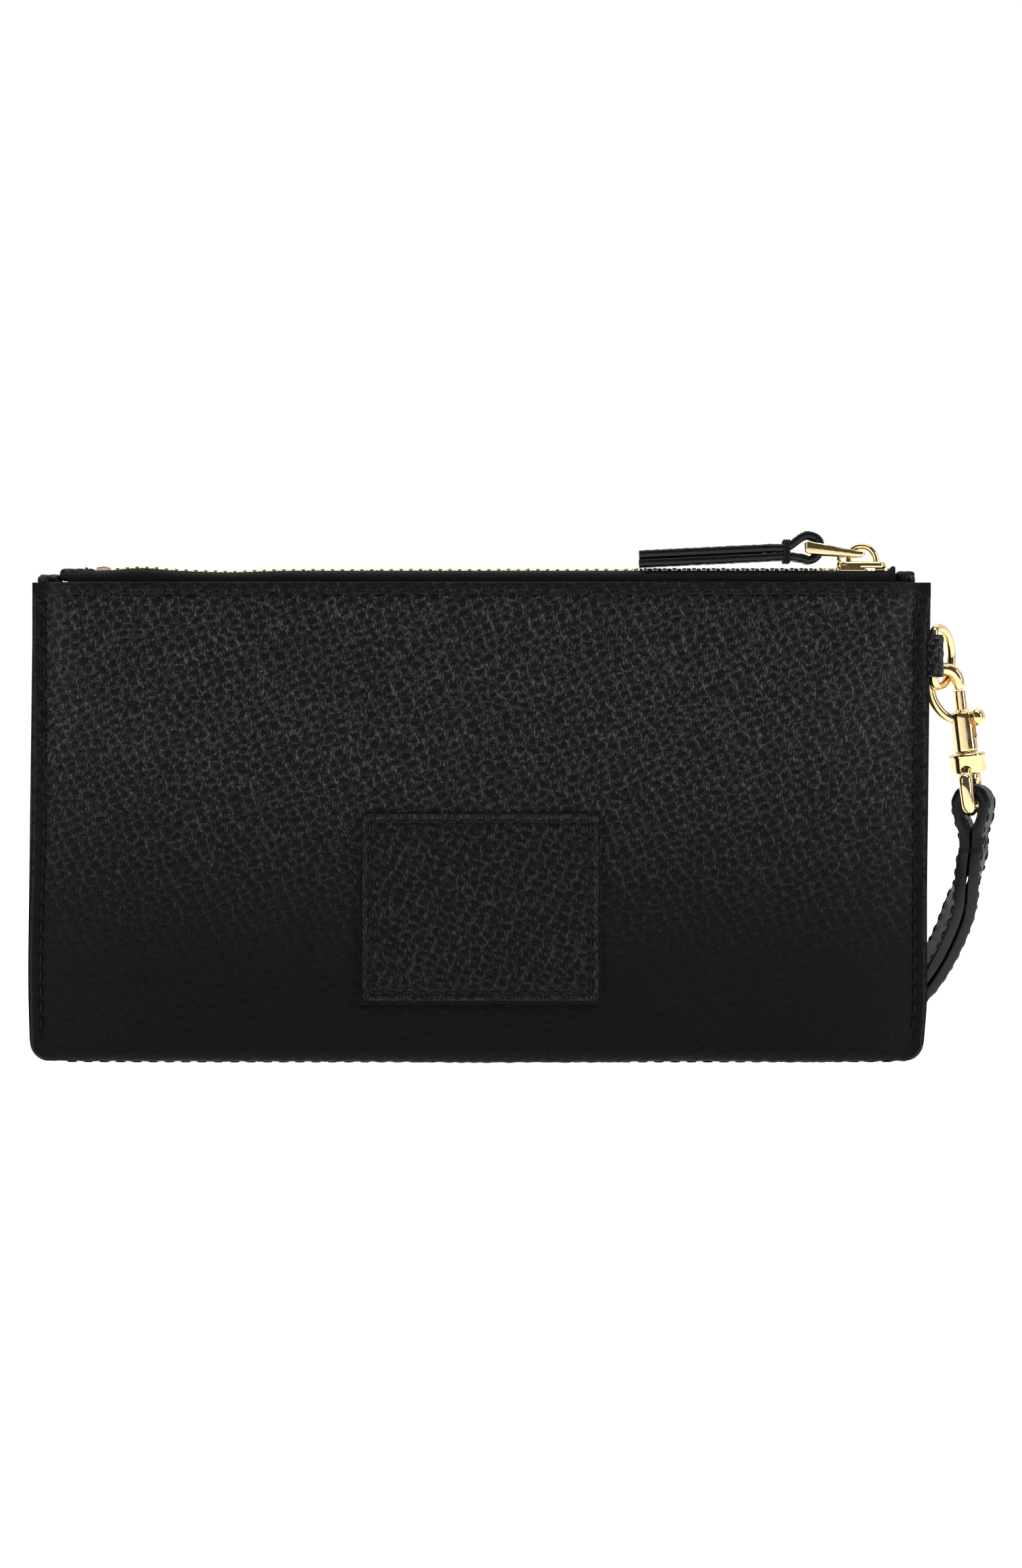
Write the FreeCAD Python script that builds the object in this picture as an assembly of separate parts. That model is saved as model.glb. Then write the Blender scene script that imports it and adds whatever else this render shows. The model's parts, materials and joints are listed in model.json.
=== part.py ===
import FreeCAD, Part
import math
import os

# Wristlet wallet: a slim upright leather pouch with a zip along its top edge and a wrist strap that
# a swivelling bolt snap hangs from a D-ring on the right side seam.
# Millimetres. +X right, +Y back, +Z up. The origin is the centre of the flat base, on the surface
# that the pouch stands on.

Vector = FreeCAD.Vector

# ---- driving dimensions: pouch ----
SIDE_HALF = 107.3        # half length over the side seams
SEAM_X = 104.3           # side stitch line
LEATHER_TOP = 115.0      # height of the leather's top edge
CORNER = 4.5             # rounding of the bottom corners
BELLY_DEPTH = 9.2        # half depth of the pouch at its fullest
BELLY_Z = 40.0           # height of that fullest place
BELLY_CURVE = 2.04e-4    # how fast the depth falls away above and below it
SEAM_HALF = 1.9          # half thickness at the side seams
POWER_LOW = 6.0          # plan outline: low powers are boat-shaped
POWER_TOP = 24.0         # and high powers are boxy, as at the mouth
BOXY_FROM = 70.0         # height where the plan starts to turn boxy
KNEE = 0.06              # rounding of the crease along the side seam
STATIONS = (0.0, 27.0, 50.0, 66.0, 78.0, 86.0, 91.0, 94.5, 97.0, 98.8, 100.4, 101.8, 103.1, 104.3,
            105.6, 107.3)        # places along the length where the walls' sections are drawn
HEIGHTS = (115.0, 105.0, 92.0, 80.0, 68.0, 56.0, 44.0, 32.0, 20.0, 11.0, 5.0)
PANEL = 1.3              # outer leather
TURN = 3.0               # radius where the leather turns under the base
TURN_END = 1.5           # the same at the side seams
GUSSET_HALF = 3.5        # half width of the base strip
GUSSET_END = 101.8       # half length of the base strip
BOARD_END = 92.0         # half length of the stiff board on the base
BOARD = 1.2
BOARD_FIT = 0.2
JOINT_GAP = 0.15         # gap between leather edges that butt

# ---- driving dimensions: inside ----
STIFFENER_FACES = (1.45, 1.9)    # depth of the stiffener's two faces under the outer face
LINING_FACES = (2.05, 2.4)       # the same for the lining
INNER_HALF = 97.0                # half length of stiffener and lining
INNER_LOW = 4.4
INNER_TOP = 105.0
POCKET_SHEET = 0.5
SLIP_POCKET_Y = -4.3             # front face of the slip pocket's sheet
SLIP_POCKET_TOP = 88.0
CARD_SLOT_PITCH = 0.9
CARD_SLOT_Y = 3.9                # front face of the hindmost card sheet
CARD_SLOT_TOP = 84.0
CARD_SLOT_STEP = 11.0
POCKET_LOW = 9.0

# ---- driving dimensions: label patch ----
PATCH_LEFT = -28.2
PATCH_RIGHT = 28.8
PATCH_LOW = 14.7
PATCH_TOP = 59.9
PATCH_CORNER = 1.8
PATCH_FACES = (-0.95, -0.05)

# ---- driving dimensions: zip ----
TAPE_TOP = 117.3
TAPE = 0.6
TAPE_EDGE = 1.4          # inner edge of each tape, inside the teeth's clamps
TAPE_BEND = 1.5
TAPE_LOW = 107.0
TAPE_LEFT = -98.5
TAPE_RIGHT = 99.6
TAPE_GAP = 0.3           # gap between tape and outer leather
CHAIN_HALF = 3.0
CHAIN_LOW = 116.2
CHAIN_TOP = 118.4
TOOTH_PITCH = 2.34
TOOTH_COUNT = 77
TOOTH_LENGTH = 1.25
TOOTH_HEAD = 0.95
HEAD_REACH = 0.9         # how far a head passes the centre line
TOOTH_BEVEL = 0.25
TOOTH_NECK = 1.15        # where a tooth's clamp ends and its head begins
FIRST_TOOTH = -86.6
BOTTOM_STOP = (-91.8, -88.3)
BOTTOM_STOP_HALF = 2.6
TOP_STOP = (97.8, 99.3)
TOP_STOP_SPAN = (0.6, 2.5)       # from the middle plane outwards
SLOT_FIT = 0.05          # clearance of a clamp on the tape's faces
END_TAB_PLY = 0.9        # leather of the zip's end tabs
END_TAB_FIT = 0.1
LEFT_TAB = (-100.6, -92.0)
LEFT_TAB_HALF = 3.3
LEFT_TAB_SPINE = 1.7     # leather at the fold of the left tab
RIGHT_TAB = (99.9, 104.5)
RIGHT_TAB_HALF = 2.6
RIGHT_TAB_TOP = 117.6

# ---- driving dimensions: slider and pull ----
SLIDER_LEFT = 85.6
SLIDER_RIGHT = 97.5
SLIDER_REAR_HALF = 3.9
SLIDER_FRONT_HALF = 4.2
SLIDER_SHOULDER = 93.0   # where the slider reaches its full width
CROWN_LOW = 118.55
CROWN_TOP = 119.9
KEEL_LOW = 114.9
KEEL_TOP = 116.0
LIP_FIT = 0.15           # clearance between the slider's lips and the teeth and tape
BAIL_HALF = 1.1          # half width of the bridge over the slider
LOCK_HALF = 0.8
BAR_X = 91.6             # pull tab's end bar, under the bridge
BAR_Z = 121.75
BAR_RADIUS = 0.8
RING_BAR_X = 78.8        # pull tab's other bar, which the leather hangs on
RING_BAR_Z = 123.3
LEATHER_PULL_HALF = 5.0
LEATHER_PULL_PLY = 1.9
LEATHER_PULL_SLIT = 0.1  # half of the gap between its two legs
LEATHER_PULL_LEFT = 38.3
LEATHER_PULL_LEFT_Z = 120.6
LEATHER_PULL_NECK = 73.6         # where the two legs part to go round the bar
LEATHER_PULL_NECK_Z = 122.3
LEATHER_PULL_LOOP = 2.95         # radius of the strip's middle line round the bar
PULL_BARTACK = (72.6, 73.9)
THREAD = 0.35            # thread of the bar-tacks

# ---- driving dimensions: D-ring and its leather tab ----
RING_X = 109.0           # straight bar of the D-ring, at Y = 0
RING_Z = 97.1
RING_HALF = 7.05         # half height of the wire's centre line
RING_REACH = 9.6
RING_CORNER = 1.8
RING_WIRE = 0.9
RING_TURN = 60.0         # degrees that the ring is swung to the back
RING_TAB_LOW = 92.3
RING_TAB_TOP = 102.5
RING_TAB_RADIUS = 2.4
RING_FIT = 0.06          # running clearance of the ring's bar and of the swivel

# ---- driving dimensions: bolt snap ----
HANG_REACH = 5.5         # where along the ring's depth the hook hangs
HOOK_TURN = 10.0         # degrees that the hook's plane is turned to the back
HOOK_TILT = 7.0          # lean of the barrel's axis
HOOK_ARC = 3.6           # radius of the hook's top, about the ring's wire
HOOK_RISE = 19.7         # from the collar's middle up to the hook's centre, along the axis
HOOK_WIRE = 1.15
BARREL = 2.9
BARREL_SPAN = (2.7, 12.6)
BORE = 1.52
BORE_FLOOR = 3.3
BOLT = 1.45
BOLT_SPAN = (8.2, 17.75)
BOLT_TRAVEL = 4.0
KNOB_HEIGHT = 10.9
KNOB_TURN = 35.0         # degrees that the knob is turned to the front
KNOB_STEM = 0.7
SLOT_HALF = 0.85
COLLAR = 4.3
COLLAR_HALF = 2.6
POST = 1.5
TENON = 0.9
RIVET_HEAD = 2.3
SPRING_COIL = 1.1
SPRING_WIRE = 0.22
SPRING_TURNS = 5
EYE_BAR_DROP = 11.1      # from the collar's middle down to the eye's bar
EYE_WIRE = 1.4
EYE_HALF = 7.0

# ---- driving dimensions: wrist strap ----
STRAP_TURN = -13.0       # degrees: the strap's plane, its left end to the back
STRAP_HALF = 5.0
STRAP_PLY = 1.35
STRAP_SLIT = 0.15        # half of the gap between the two legs
STRAP_LOOP = 3.3         # radius of the strap's middle line over the eye's bar
STRAP_LOOP_Z = 62.1
STRAP_LANDING = -46.0    # where the falling strap reaches the surface
STRAP_END = -115.0
STRAP_BULB = 2.1         # radius of the far fold's middle line
STRAP_LIFT_RUN = 22.0    # length over which the upper leg rises to the fold
STRAP_FLOOR = 0.05
STRAP_BARTACK = (50.2, 51.4)
STRAP_BARTACK_HALF = 3.5

NODES = {}


# ---- shape helpers ----
def smooth_step(value):
    """Runs from 0 to 1 with level ends."""
    t = min(max(value, 0.0), 1.0)
    return t * t * (3.0 - 2.0 * t)


def fractions(count):
    """Evenly spaced values from 0 to 1."""
    return [i / (count - 1) for i in range(count)]


def skin(outer, inner):
    """A thin solid through sections: each pairs a line of outer points with one of inner points."""
    sections = []
    for near, far in zip(outer, inner):
        loop = near + far[::-1]
        sections.append(Part.makePolygon(loop + loop[:1]))
    return outward(Part.makeLoft(sections, True, True))


def outward(solid):
    """The solid with its faces turned outwards."""
    if solid.Volume < 0:
        solid.reverse()
    return solid


def box(low, high):
    """A box between two corners."""
    size = [high[i] - low[i] for i in range(3)]
    return Part.makeBox(*size, Vector(*low))


def prism(points, along):
    """A polygon extruded along a vector."""
    wire = Part.makePolygon([Vector(*p) for p in points] + [Vector(*points[0])])
    return Part.Face(wire).extrude(Vector(*along))


def rounded_rectangle(left, right, low, top, radius, y):
    """A face in the XZ plane at depth y with rounded corners."""
    corners = [(right - radius, top - radius, 0), (left + radius, top - radius, 90),
               (left + radius, low + radius, 180), (right - radius, low + radius, 270)]
    arcs = []
    for x, z, start in corners:
        ends = [start, start + 45, start + 90]
        points = [Vector(x + radius * math.cos(math.radians(a)), y,
                         z + radius * math.sin(math.radians(a))) for a in ends]
        arcs.append(Part.Arc(*points).toShape())
    edges = []
    for i, arc in enumerate(arcs):
        following = arcs[(i + 1) % len(arcs)]
        edges += [arc, Part.makeLine(arc.Vertexes[-1].Point, following.Vertexes[0].Point)]
    return Part.Face(Part.Wire(edges))


def wire_sweep(edges, radius):
    """Round wire of the given radius along a path of edges that join smoothly."""
    path = Part.Wire(edges)
    first = edges[0]
    start = first.valueAt(first.FirstParameter)
    circle = Part.makeCircle(radius, start, first.tangentAt(first.FirstParameter))
    return outward(path.makePipeShell([Part.Wire(circle)], True, False))


def place(shape, frame):
    """The shape moved from local coordinates into a frame."""
    moved = shape.copy()
    moved.transformShape(frame.toMatrix(), True)
    return moved


# ---- pouch walls ----
def middle_depth(z):
    """Half depth of the pouch at mid length."""
    return BELLY_DEPTH - BELLY_CURVE * (z - BELLY_Z) ** 2


def plan_power(z):
    """Shape of the plan outline at a height."""
    boxy = smooth_step((z - BOXY_FROM) / (LEATHER_TOP - BOXY_FROM))
    return POWER_LOW + (POWER_TOP - POWER_LOW) * boxy


def fullness(x, z):
    """0 at the side seams and beyond, 1 at mid length."""
    value = 1.0 - (abs(x) / SEAM_X) ** plan_power(z)
    return 0.5 * (value + math.sqrt(value * value + KNEE * KNEE))


def half_depth(x, z):
    """Distance of the outer face from the middle plane."""
    return SEAM_HALF + (middle_depth(z) - SEAM_HALF) * fullness(x, z)


def between(values, low, high):
    """The two ends and every value that lies well between them, in rising order."""
    margin = 0.4
    inside = [v for v in values if low + margin < v < high - margin]
    return [low] + sorted(inside) + [high]


def stations(left, right):
    """Places along the length from left to right, closer together towards the side seams."""
    return between([-x for x in STATIONS[1:]] + list(STATIONS), left, right)


def panel_section(x, inset):
    """(depth, z) points inset below the outer face: down the wall, round the turn and under."""
    turn = TURN_END + (TURN - TURN_END) * fullness(x, 0.0)
    centre = half_depth(x, turn) - turn
    edge = GUSSET_HALF * fullness(x, 0.0) + JOINT_GAP
    points = [(half_depth(x, z) - inset, z) for z in HEIGHTS]
    for angle in (0.0, 22.5, 45.0, 67.5, 90.0):
        radians = math.radians(angle)
        points.append((centre + (turn - inset) * math.cos(radians),
                       turn - (turn - inset) * math.sin(radians)))
    points.append((edge, inset))
    return points


def panel(side):
    """Outer leather of one side; side is -1 at the front and 1 at the back."""
    def grid(inset):
        return [[Vector(x, side * depth, z) for depth, z in panel_section(x, inset)]
                for x in stations(-SIDE_HALF, SIDE_HALF)]
    outline = rounded_rectangle(-SIDE_HALF, SIDE_HALF, 0.0, 2 * LEATHER_TOP, CORNER, -20.0)
    return skin(grid(0.0), grid(PANEL)).common(outline.extrude(Vector(0, 40, 0))).Solids[0]


def layer(side, faces, left, right, low, top):
    """A sheet that follows the wall between two depths below its outer face."""
    def grid(inset):
        return [[Vector(x, side * (half_depth(x, z) - inset), z) for z in between(HEIGHTS, low, top)]
                for x in stations(left, right)]
    return skin(grid(faces[0]), grid(faces[1]))


def flat_sheet(y, top):
    """A pocket sheet that spans the pouch where the lining's curve meets it."""
    reach = []
    for z in (POCKET_LOW, top):
        wall = abs(y) + POCKET_SHEET + LINING_FACES[1] + JOINT_GAP
        share = (wall - SEAM_HALF) / (middle_depth(z) - SEAM_HALF)
        reach.append(SEAM_X * (1.0 - share) ** (1.0 / POWER_LOW))
    half = min(reach)
    return box((-half, y, POCKET_LOW), (half, y + POCKET_SHEET, top))


def make_pouch():
    NODES["front_panel"] = panel(-1)
    NODES["back_panel"] = panel(1)

    rim = [(x, GUSSET_HALF * fullness(x, 0.0), 0.0) for x in stations(-GUSSET_END, GUSSET_END)]
    outline = [(x, -y, z) for x, y, z in rim] + rim[::-1]
    NODES["base_gusset"] = prism(outline, (0, 0, PANEL))

    rim = [(x, half_depth(x, TURN) - TURN - BOARD_FIT, PANEL + 0.1)
           for x in stations(-BOARD_END, BOARD_END)]
    outline = [(x, -y, z) for x, y, z in rim] + rim[::-1]
    NODES["base_board"] = prism(outline, (0, 0, BOARD))

    for name, side in (("front", -1), ("back", 1)):
        span = (-INNER_HALF, INNER_HALF, INNER_LOW, INNER_TOP)
        NODES[name + "_stiffener"] = layer(side, STIFFENER_FACES, *span)
        NODES[name + "_lining"] = layer(side, LINING_FACES, *span)

    NODES["slip_pocket"] = flat_sheet(SLIP_POCKET_Y, SLIP_POCKET_TOP)
    for i in range(3):
        y = CARD_SLOT_Y - CARD_SLOT_PITCH * i
        NODES["card_slot_%d" % (i + 1)] = flat_sheet(y, CARD_SLOT_TOP - CARD_SLOT_STEP * i)

    sheet = layer(-1, PATCH_FACES, PATCH_LEFT - 3, PATCH_RIGHT + 3, PATCH_LOW - 3, PATCH_TOP + 3)
    cutter = rounded_rectangle(PATCH_LEFT, PATCH_RIGHT, PATCH_LOW, PATCH_TOP, PATCH_CORNER, -20.0)
    NODES["label_patch"] = sheet.common(cutter.extrude(Vector(0, 20, 0))).Solids[0]

    filler = (SEAM_HALF - PANEL) - 0.1
    inner, outer = SEAM_X + 0.2, SIDE_HALF - 0.1
    low, top = CORNER + 1.5, LEATHER_TOP - 0.5
    NODES["left_edge_filler"] = box((-outer, -filler, low), (-inner, filler, top))
    NODES["right_edge_filler"] = Part.makeCompound([
        box((inner, -filler, low), (outer, filler, RING_TAB_LOW - 0.2)),
        box((inner, -filler, RING_TAB_TOP + 0.2), (outer, filler, top))])


# ---- zip ----
def tape_section(x, inset):
    """(depth, z) points of the tape: level beside the chain, bent, then down inside the leather."""
    reach = half_depth(x, LEATHER_TOP) - PANEL - TAPE_GAP
    shoulder = reach - TAPE_BEND
    points = [(TAPE_EDGE, TAPE_TOP - inset)]
    for angle in (0.0, 22.5, 45.0, 67.5, 90.0):
        radians = math.radians(angle)
        points.append((shoulder + (TAPE_BEND - inset) * math.sin(radians),
                       TAPE_TOP - TAPE_BEND + (TAPE_BEND - inset) * math.cos(radians)))
    points.append((reach - inset, TAPE_LOW))
    return points


def tape(side):
    """Zip tape of one side."""
    def grid(inset):
        return [[Vector(x, side * depth, z) for depth, z in tape_section(x, inset)]
                for x in stations(TAPE_LEFT, TAPE_RIGHT)]
    return skin(grid(0.0), grid(TAPE))


def tape_slot(left, right):
    """The space that the tape's edge takes in a metal clamp of the back row."""
    return box((left - 1, TAPE_EDGE - 0.1, TAPE_TOP - TAPE - SLOT_FIT),
               (right + 1, CHAIN_HALF + 1, TAPE_TOP + SLOT_FIT))


def mirrored(shape):
    """The shape on the other side of the middle plane."""
    return shape.mirror(Vector(0, 0, 0), Vector(0, 1, 0))


def tooth(side):
    """One metal tooth: a clamp round the tape's edge and a head that meets the other row."""
    middle = 0.5 * (CHAIN_LOW + CHAIN_TOP)
    tall = 0.5 * (CHAIN_TOP - CHAIN_LOW)
    half = 0.5 * TOOTH_LENGTH
    side_x, side_z = half - TOOTH_BEVEL, tall - TOOTH_BEVEL
    corners = [(-half, -side_z), (-side_x, -tall), (side_x, -tall), (half, -side_z),
               (half, side_z), (side_x, tall), (-side_x, tall), (-half, side_z)]
    outline = [(x, TOOTH_NECK, middle + z) for x, z in corners]
    clamp = prism(outline, (0, CHAIN_HALF - TOOTH_NECK, 0))
    head = box((-0.5 * TOOTH_HEAD, -HEAD_REACH, middle - 0.7 * tall),
               (0.5 * TOOTH_HEAD, TOOTH_NECK, middle + 0.7 * tall))
    shape = clamp.cut(tape_slot(-half, half)).fuse(head).removeSplitter()
    if side < 0:
        shape.rotate(Vector(0, 0, 0), Vector(0, 0, 1), 180)
    return shape.Solids[0]


def make_zip():
    for name, side in (("front", -1), ("back", 1)):
        NODES["zipper_tape_" + name] = tape(side)
        first = FIRST_TOOTH + (0.5 * TOOTH_PITCH if side > 0 else 0.0)
        master = tooth(side)
        row = []
        for i in range(TOOTH_COUNT):
            piece = master.copy()
            piece.translate(Vector(first + TOOTH_PITCH * i, 0, 0))
            row.append(piece)
        NODES["zipper_teeth_" + name] = Part.makeCompound(row)

    left, right = BOTTOM_STOP
    stop = box((left, -BOTTOM_STOP_HALF, CHAIN_LOW), (right, BOTTOM_STOP_HALF, CHAIN_TOP))
    slot = tape_slot(left, right)
    NODES["bottom_stop"] = stop.cut(slot).cut(mirrored(slot)).Solids[0]

    left, right = TOP_STOP
    block = box((left, TOP_STOP_SPAN[0], CHAIN_LOW), (right, TOP_STOP_SPAN[1], CHAIN_TOP))
    top_stop = block.cut(tape_slot(left, right)).Solids[0]
    NODES["top_stops"] = Part.makeCompound([top_stop, mirrored(top_stop).Solids[0]])

    # Leather end tabs: the left one is folded round the tape ends, the right one caps them.
    left, right = LEFT_TAB
    spine = left + LEFT_TAB_SPINE
    above, below = TAPE_TOP + END_TAB_FIT, TAPE_TOP - TAPE - END_TAB_FIT
    fold = [(right, above), (right, above + END_TAB_PLY), (left, above + END_TAB_PLY),
            (left, below - END_TAB_PLY), (right, below - END_TAB_PLY), (right, below),
            (spine, below), (spine, above)]
    NODES["zip_end_tab_left"] = prism([(x, -LEFT_TAB_HALF, z) for x, z in fold],
                                      (0, 2 * LEFT_TAB_HALF, 0))
    left, right = RIGHT_TAB
    cap = box((left, -RIGHT_TAB_HALF, LEATHER_TOP + 0.2), (right, RIGHT_TAB_HALF, RIGHT_TAB_TOP))
    tongue = box((left + 0.3, -0.4, TAPE_LOW + 2.0), (right - 0.9, 0.4, LEATHER_TOP + 0.3))
    NODES["zip_end_tab_right"] = cap.fuse(tongue).removeSplitter().Solids[0]


# ---- slider and pull ----
def slider_plate(low, top, grow=0.0):
    """One of the slider's two plates: narrow at the rear, shouldered towards the front."""
    rear, front = SLIDER_REAR_HALF + grow, SLIDER_FRONT_HALF + grow
    nose = SLIDER_RIGHT - 1.5
    half = [(SLIDER_LEFT, rear - 1.0), (SLIDER_LEFT + 1.0, rear), (SLIDER_SHOULDER - 2.0, rear),
            (SLIDER_SHOULDER, front), (nose, front), (SLIDER_RIGHT, front - 1.7)]
    outline = [(x, y, low) for x, y in half] + [(x, -y, low) for x, y in reversed(half)]
    return prism(outline, (0, 0, top - low))


def make_slider():
    upper = slider_plate(CROWN_LOW, CROWN_TOP)
    lower = slider_plate(KEEL_LOW, KEEL_TOP)
    inner = CHAIN_HALF + LIP_FIT
    lip_left, lip_right = SLIDER_LEFT + 0.8, SLIDER_SHOULDER - 0.5
    upper_lip = box((lip_left, inner, TAPE_TOP + LIP_FIT),
                    (lip_right, SLIDER_REAR_HALF, CROWN_LOW + 0.1))
    lower_lip = box((lip_left, inner, KEEL_TOP - 0.1),
                    (lip_right, SLIDER_REAR_HALF - 0.2, KEEL_TOP + 0.35))
    diamond = box((SLIDER_RIGHT - 2.6, -0.9, KEEL_TOP - 0.1), (SLIDER_RIGHT - 0.3, 0.9, CROWN_LOW + 0.1))
    body = upper.fuse([lower, diamond])
    for lip in (upper_lip, lower_lip):
        body = body.fuse([lip, mirrored(lip)])
    body = body.removeSplitter().Solids[0]
    rim = [e for e in body.Edges
           if e.Vertexes[0].Z > CROWN_TOP - 0.01 and e.Vertexes[-1].Z > CROWN_TOP - 0.01]
    NODES["slider_body"] = body.makeFillet(0.45, rim).Solids[0]

    # The bridge is an arched strap of metal, standing on the crown fore and aft of the pull's bar.
    outside = [(88.0, CROWN_TOP), (88.3, 122.6), (89.9, 124.1), (93.2, 124.1), (95.3, 122.2),
               (96.0, CROWN_TOP)]
    inside = [(89.3, CROWN_TOP), (89.6, 121.9), (90.4, 122.95), (92.9, 122.95), (94.0, 121.5),
              (94.4, CROWN_TOP)]
    outline = [(x, -BAIL_HALF, z) for x, z in outside + inside[::-1]]
    bridge = prism(outline, (0, 2 * BAIL_HALF, 0))
    crest = [e for e in bridge.Edges
             if e.Length < 2 * BAIL_HALF + 0.01 and abs(e.tangentAt(0).y) > 0.9
             and e.Vertexes[0].Z > CROWN_TOP + 0.1]
    NODES["slider_bridge"] = bridge.makeFillet(0.55, crest).Solids[0]
    nose = [(85.9, CROWN_TOP), (85.9, 121.3), (86.6, 121.7), (87.5, 121.5), (87.5, 120.9),
            (86.9, 120.9), (87.2, CROWN_TOP)]
    NODES["slider_lock"] = prism([(x, -LOCK_HALF, z) for x, z in nose], (0, 2 * LOCK_HALF, 0))


def make_pull():
    # The pull tab is a tapered metal loop: its plan outline cut to its side outline.
    side = [(77.9, 122.0), (78.2, 121.7), (90.6, 120.95), (BAR_X + 0.5, 120.98),
            (BAR_X + BAR_RADIUS, 121.4), (BAR_X + BAR_RADIUS, 122.1), (BAR_X + 0.5, 122.52),
            (90.6, 122.6), (78.2, 124.9), (77.9, 124.6)]
    plan = [(77.9, 6.3), (83.1, 6.3), (90.0, 3.0), (BAR_X + BAR_RADIUS, 3.0)]
    hole = [(79.6, 5.3), (82.9, 5.3), (89.6, 1.65), (BAR_X - BAR_RADIUS, 1.65)]
    outer = [(x, -y, 118) for x, y in plan] + [(x, y, 118) for x, y in reversed(plan)]
    inner = [(x, -y, 117) for x, y in hole] + [(x, y, 117) for x, y in reversed(hole)]
    loop = prism(outer, (0, 0, 10)).cut(prism(inner, (0, 0, 12)))
    tab = loop.common(prism([(x, -8, z) for x, z in side], (0, 16, 0)))
    NODES["pull_tab"] = tab.removeSplitter().Solids[0]

    # The leather pull is one strip folded round the tab's far bar, its two legs stitched together.
    half = 0.5 * LEATHER_PULL_PLY
    offset = half + LEATHER_PULL_SLIT
    left, left_z = LEATHER_PULL_LEFT, LEATHER_PULL_LEFT_Z
    neck, neck_z = LEATHER_PULL_NECK, LEATHER_PULL_NECK_Z
    slope = (neck_z - left_z) / (neck - left)
    legs = [[(left + (neck - left) * f, left_z + (neck_z - left_z) * f + s * offset)
             for f in fractions(8)] for s in (1, -1)]
    turn = [(RING_BAR_X + LEATHER_PULL_LOOP * math.cos(math.radians(a)),
             RING_BAR_Z + LEATHER_PULL_LOOP * math.sin(math.radians(a)))
            for a in range(120, -121, -30)]
    loop = smooth_run([legs[0][-1]] + turn + [legs[1][-1]], 44, (1.0, slope), (-1.0, -slope))
    middle = legs[0][:-1] + loop + legs[1][-2::-1]
    outline = beside(middle, half) + beside(middle, -half)[::-1]
    NODES["pull_leather"] = strip(outline, LEATHER_PULL_HALF)
    # Bar-tack: a band of thread round both legs, just short of the loop.
    left, right = PULL_BARTACK
    low, top, side = 120.05, 124.7, LEATHER_PULL_HALF + 0.05
    sleeve = box((left, -side - THREAD, low - THREAD), (right, side + THREAD, top + THREAD))
    core = box((left - 1, -side, low), (right + 1, side, top))
    NODES["pull_bartack"] = sleeve.cut(core).Solids[0]


# ---- ribbons ----
def smooth_run(points, count, leave=None, arrive=None):
    """Evenly spaced (x, z) points on a smooth curve through a few, with given end directions."""
    curve = Part.BSplineCurve()
    through = [Vector(x, 0, z) for x, z in points]
    if leave is None:
        curve.interpolate(through)
    else:
        curve.interpolate(Points=through, InitialTangent=Vector(leave[0], 0, leave[1]),
                          FinalTangent=Vector(arrive[0], 0, arrive[1]))
    return [(p.x, p.z) for p in curve.discretize(Number=count)]


def beside(points, distance, closed=False):
    """The points moved sideways, to the left of the way they run."""
    moved = []
    last = len(points) - 1
    for i, (x, z) in enumerate(points):
        before = points[i - 1] if i > 0 or closed else points[0]
        after = points[(i + 1) % len(points)] if i < last or closed else points[last]
        run, rise = after[0] - before[0], after[1] - before[1]
        length = math.hypot(run, rise)
        moved.append((x - rise / length * distance, z + run / length * distance))
    return moved


def strip(outline, half_width, hole=None):
    """A face of (x, z) points, less a hole, extruded to both sides of the plane y = 0."""
    face = Part.Face(closed_polygon(outline))
    if hole:
        face = face.cut(Part.Face(closed_polygon(hole))).Faces[0]
    solid = face.extrude(Vector(0, 2 * half_width, 0))
    solid.translate(Vector(0, -half_width, 0))
    return solid


def closed_polygon(points):
    """A closed wire through (x, z) points in the plane y = 0."""
    return Part.makePolygon([Vector(x, 0, z) for x, z in points + points[:1]])


# ---- D-ring, bolt snap and wrist strap ----
def turned(x, y, z, degrees, tilt=0.0):
    """A frame at a point, turned about +Z, then leaned about its own Y."""
    spin = FreeCAD.Rotation(Vector(0, 0, 1), degrees)
    lean = FreeCAD.Rotation(Vector(0, 1, 0), -tilt)
    return FreeCAD.Placement(Vector(x, y, z), spin.multiply(lean))


def hang_point():
    """Where the hook hangs on the ring's wire."""
    drop = math.sqrt(RING_HALF ** 2 - (HANG_REACH - (RING_REACH - RING_HALF)) ** 2)
    return turned(RING_X, 0, RING_Z, RING_TURN).multVec(Vector(HANG_REACH, 0, -drop))


def snap_frame():
    """Frame of the bolt snap: Z up the barrel's axis, X to its right, origin inside the collar."""
    hang = hang_point()
    frame = turned(hang.x, hang.y, hang.z, HOOK_TURN, HOOK_TILT)
    return FreeCAD.Placement(frame.multVec(Vector(HOOK_ARC, 0, -HOOK_RISE)), frame.Rotation)


def eye_bar_point():
    """Middle of the eye's bar, which the strap hangs on."""
    return snap_frame().multVec(Vector(0, 0, -EYE_BAR_DROP))


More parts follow.
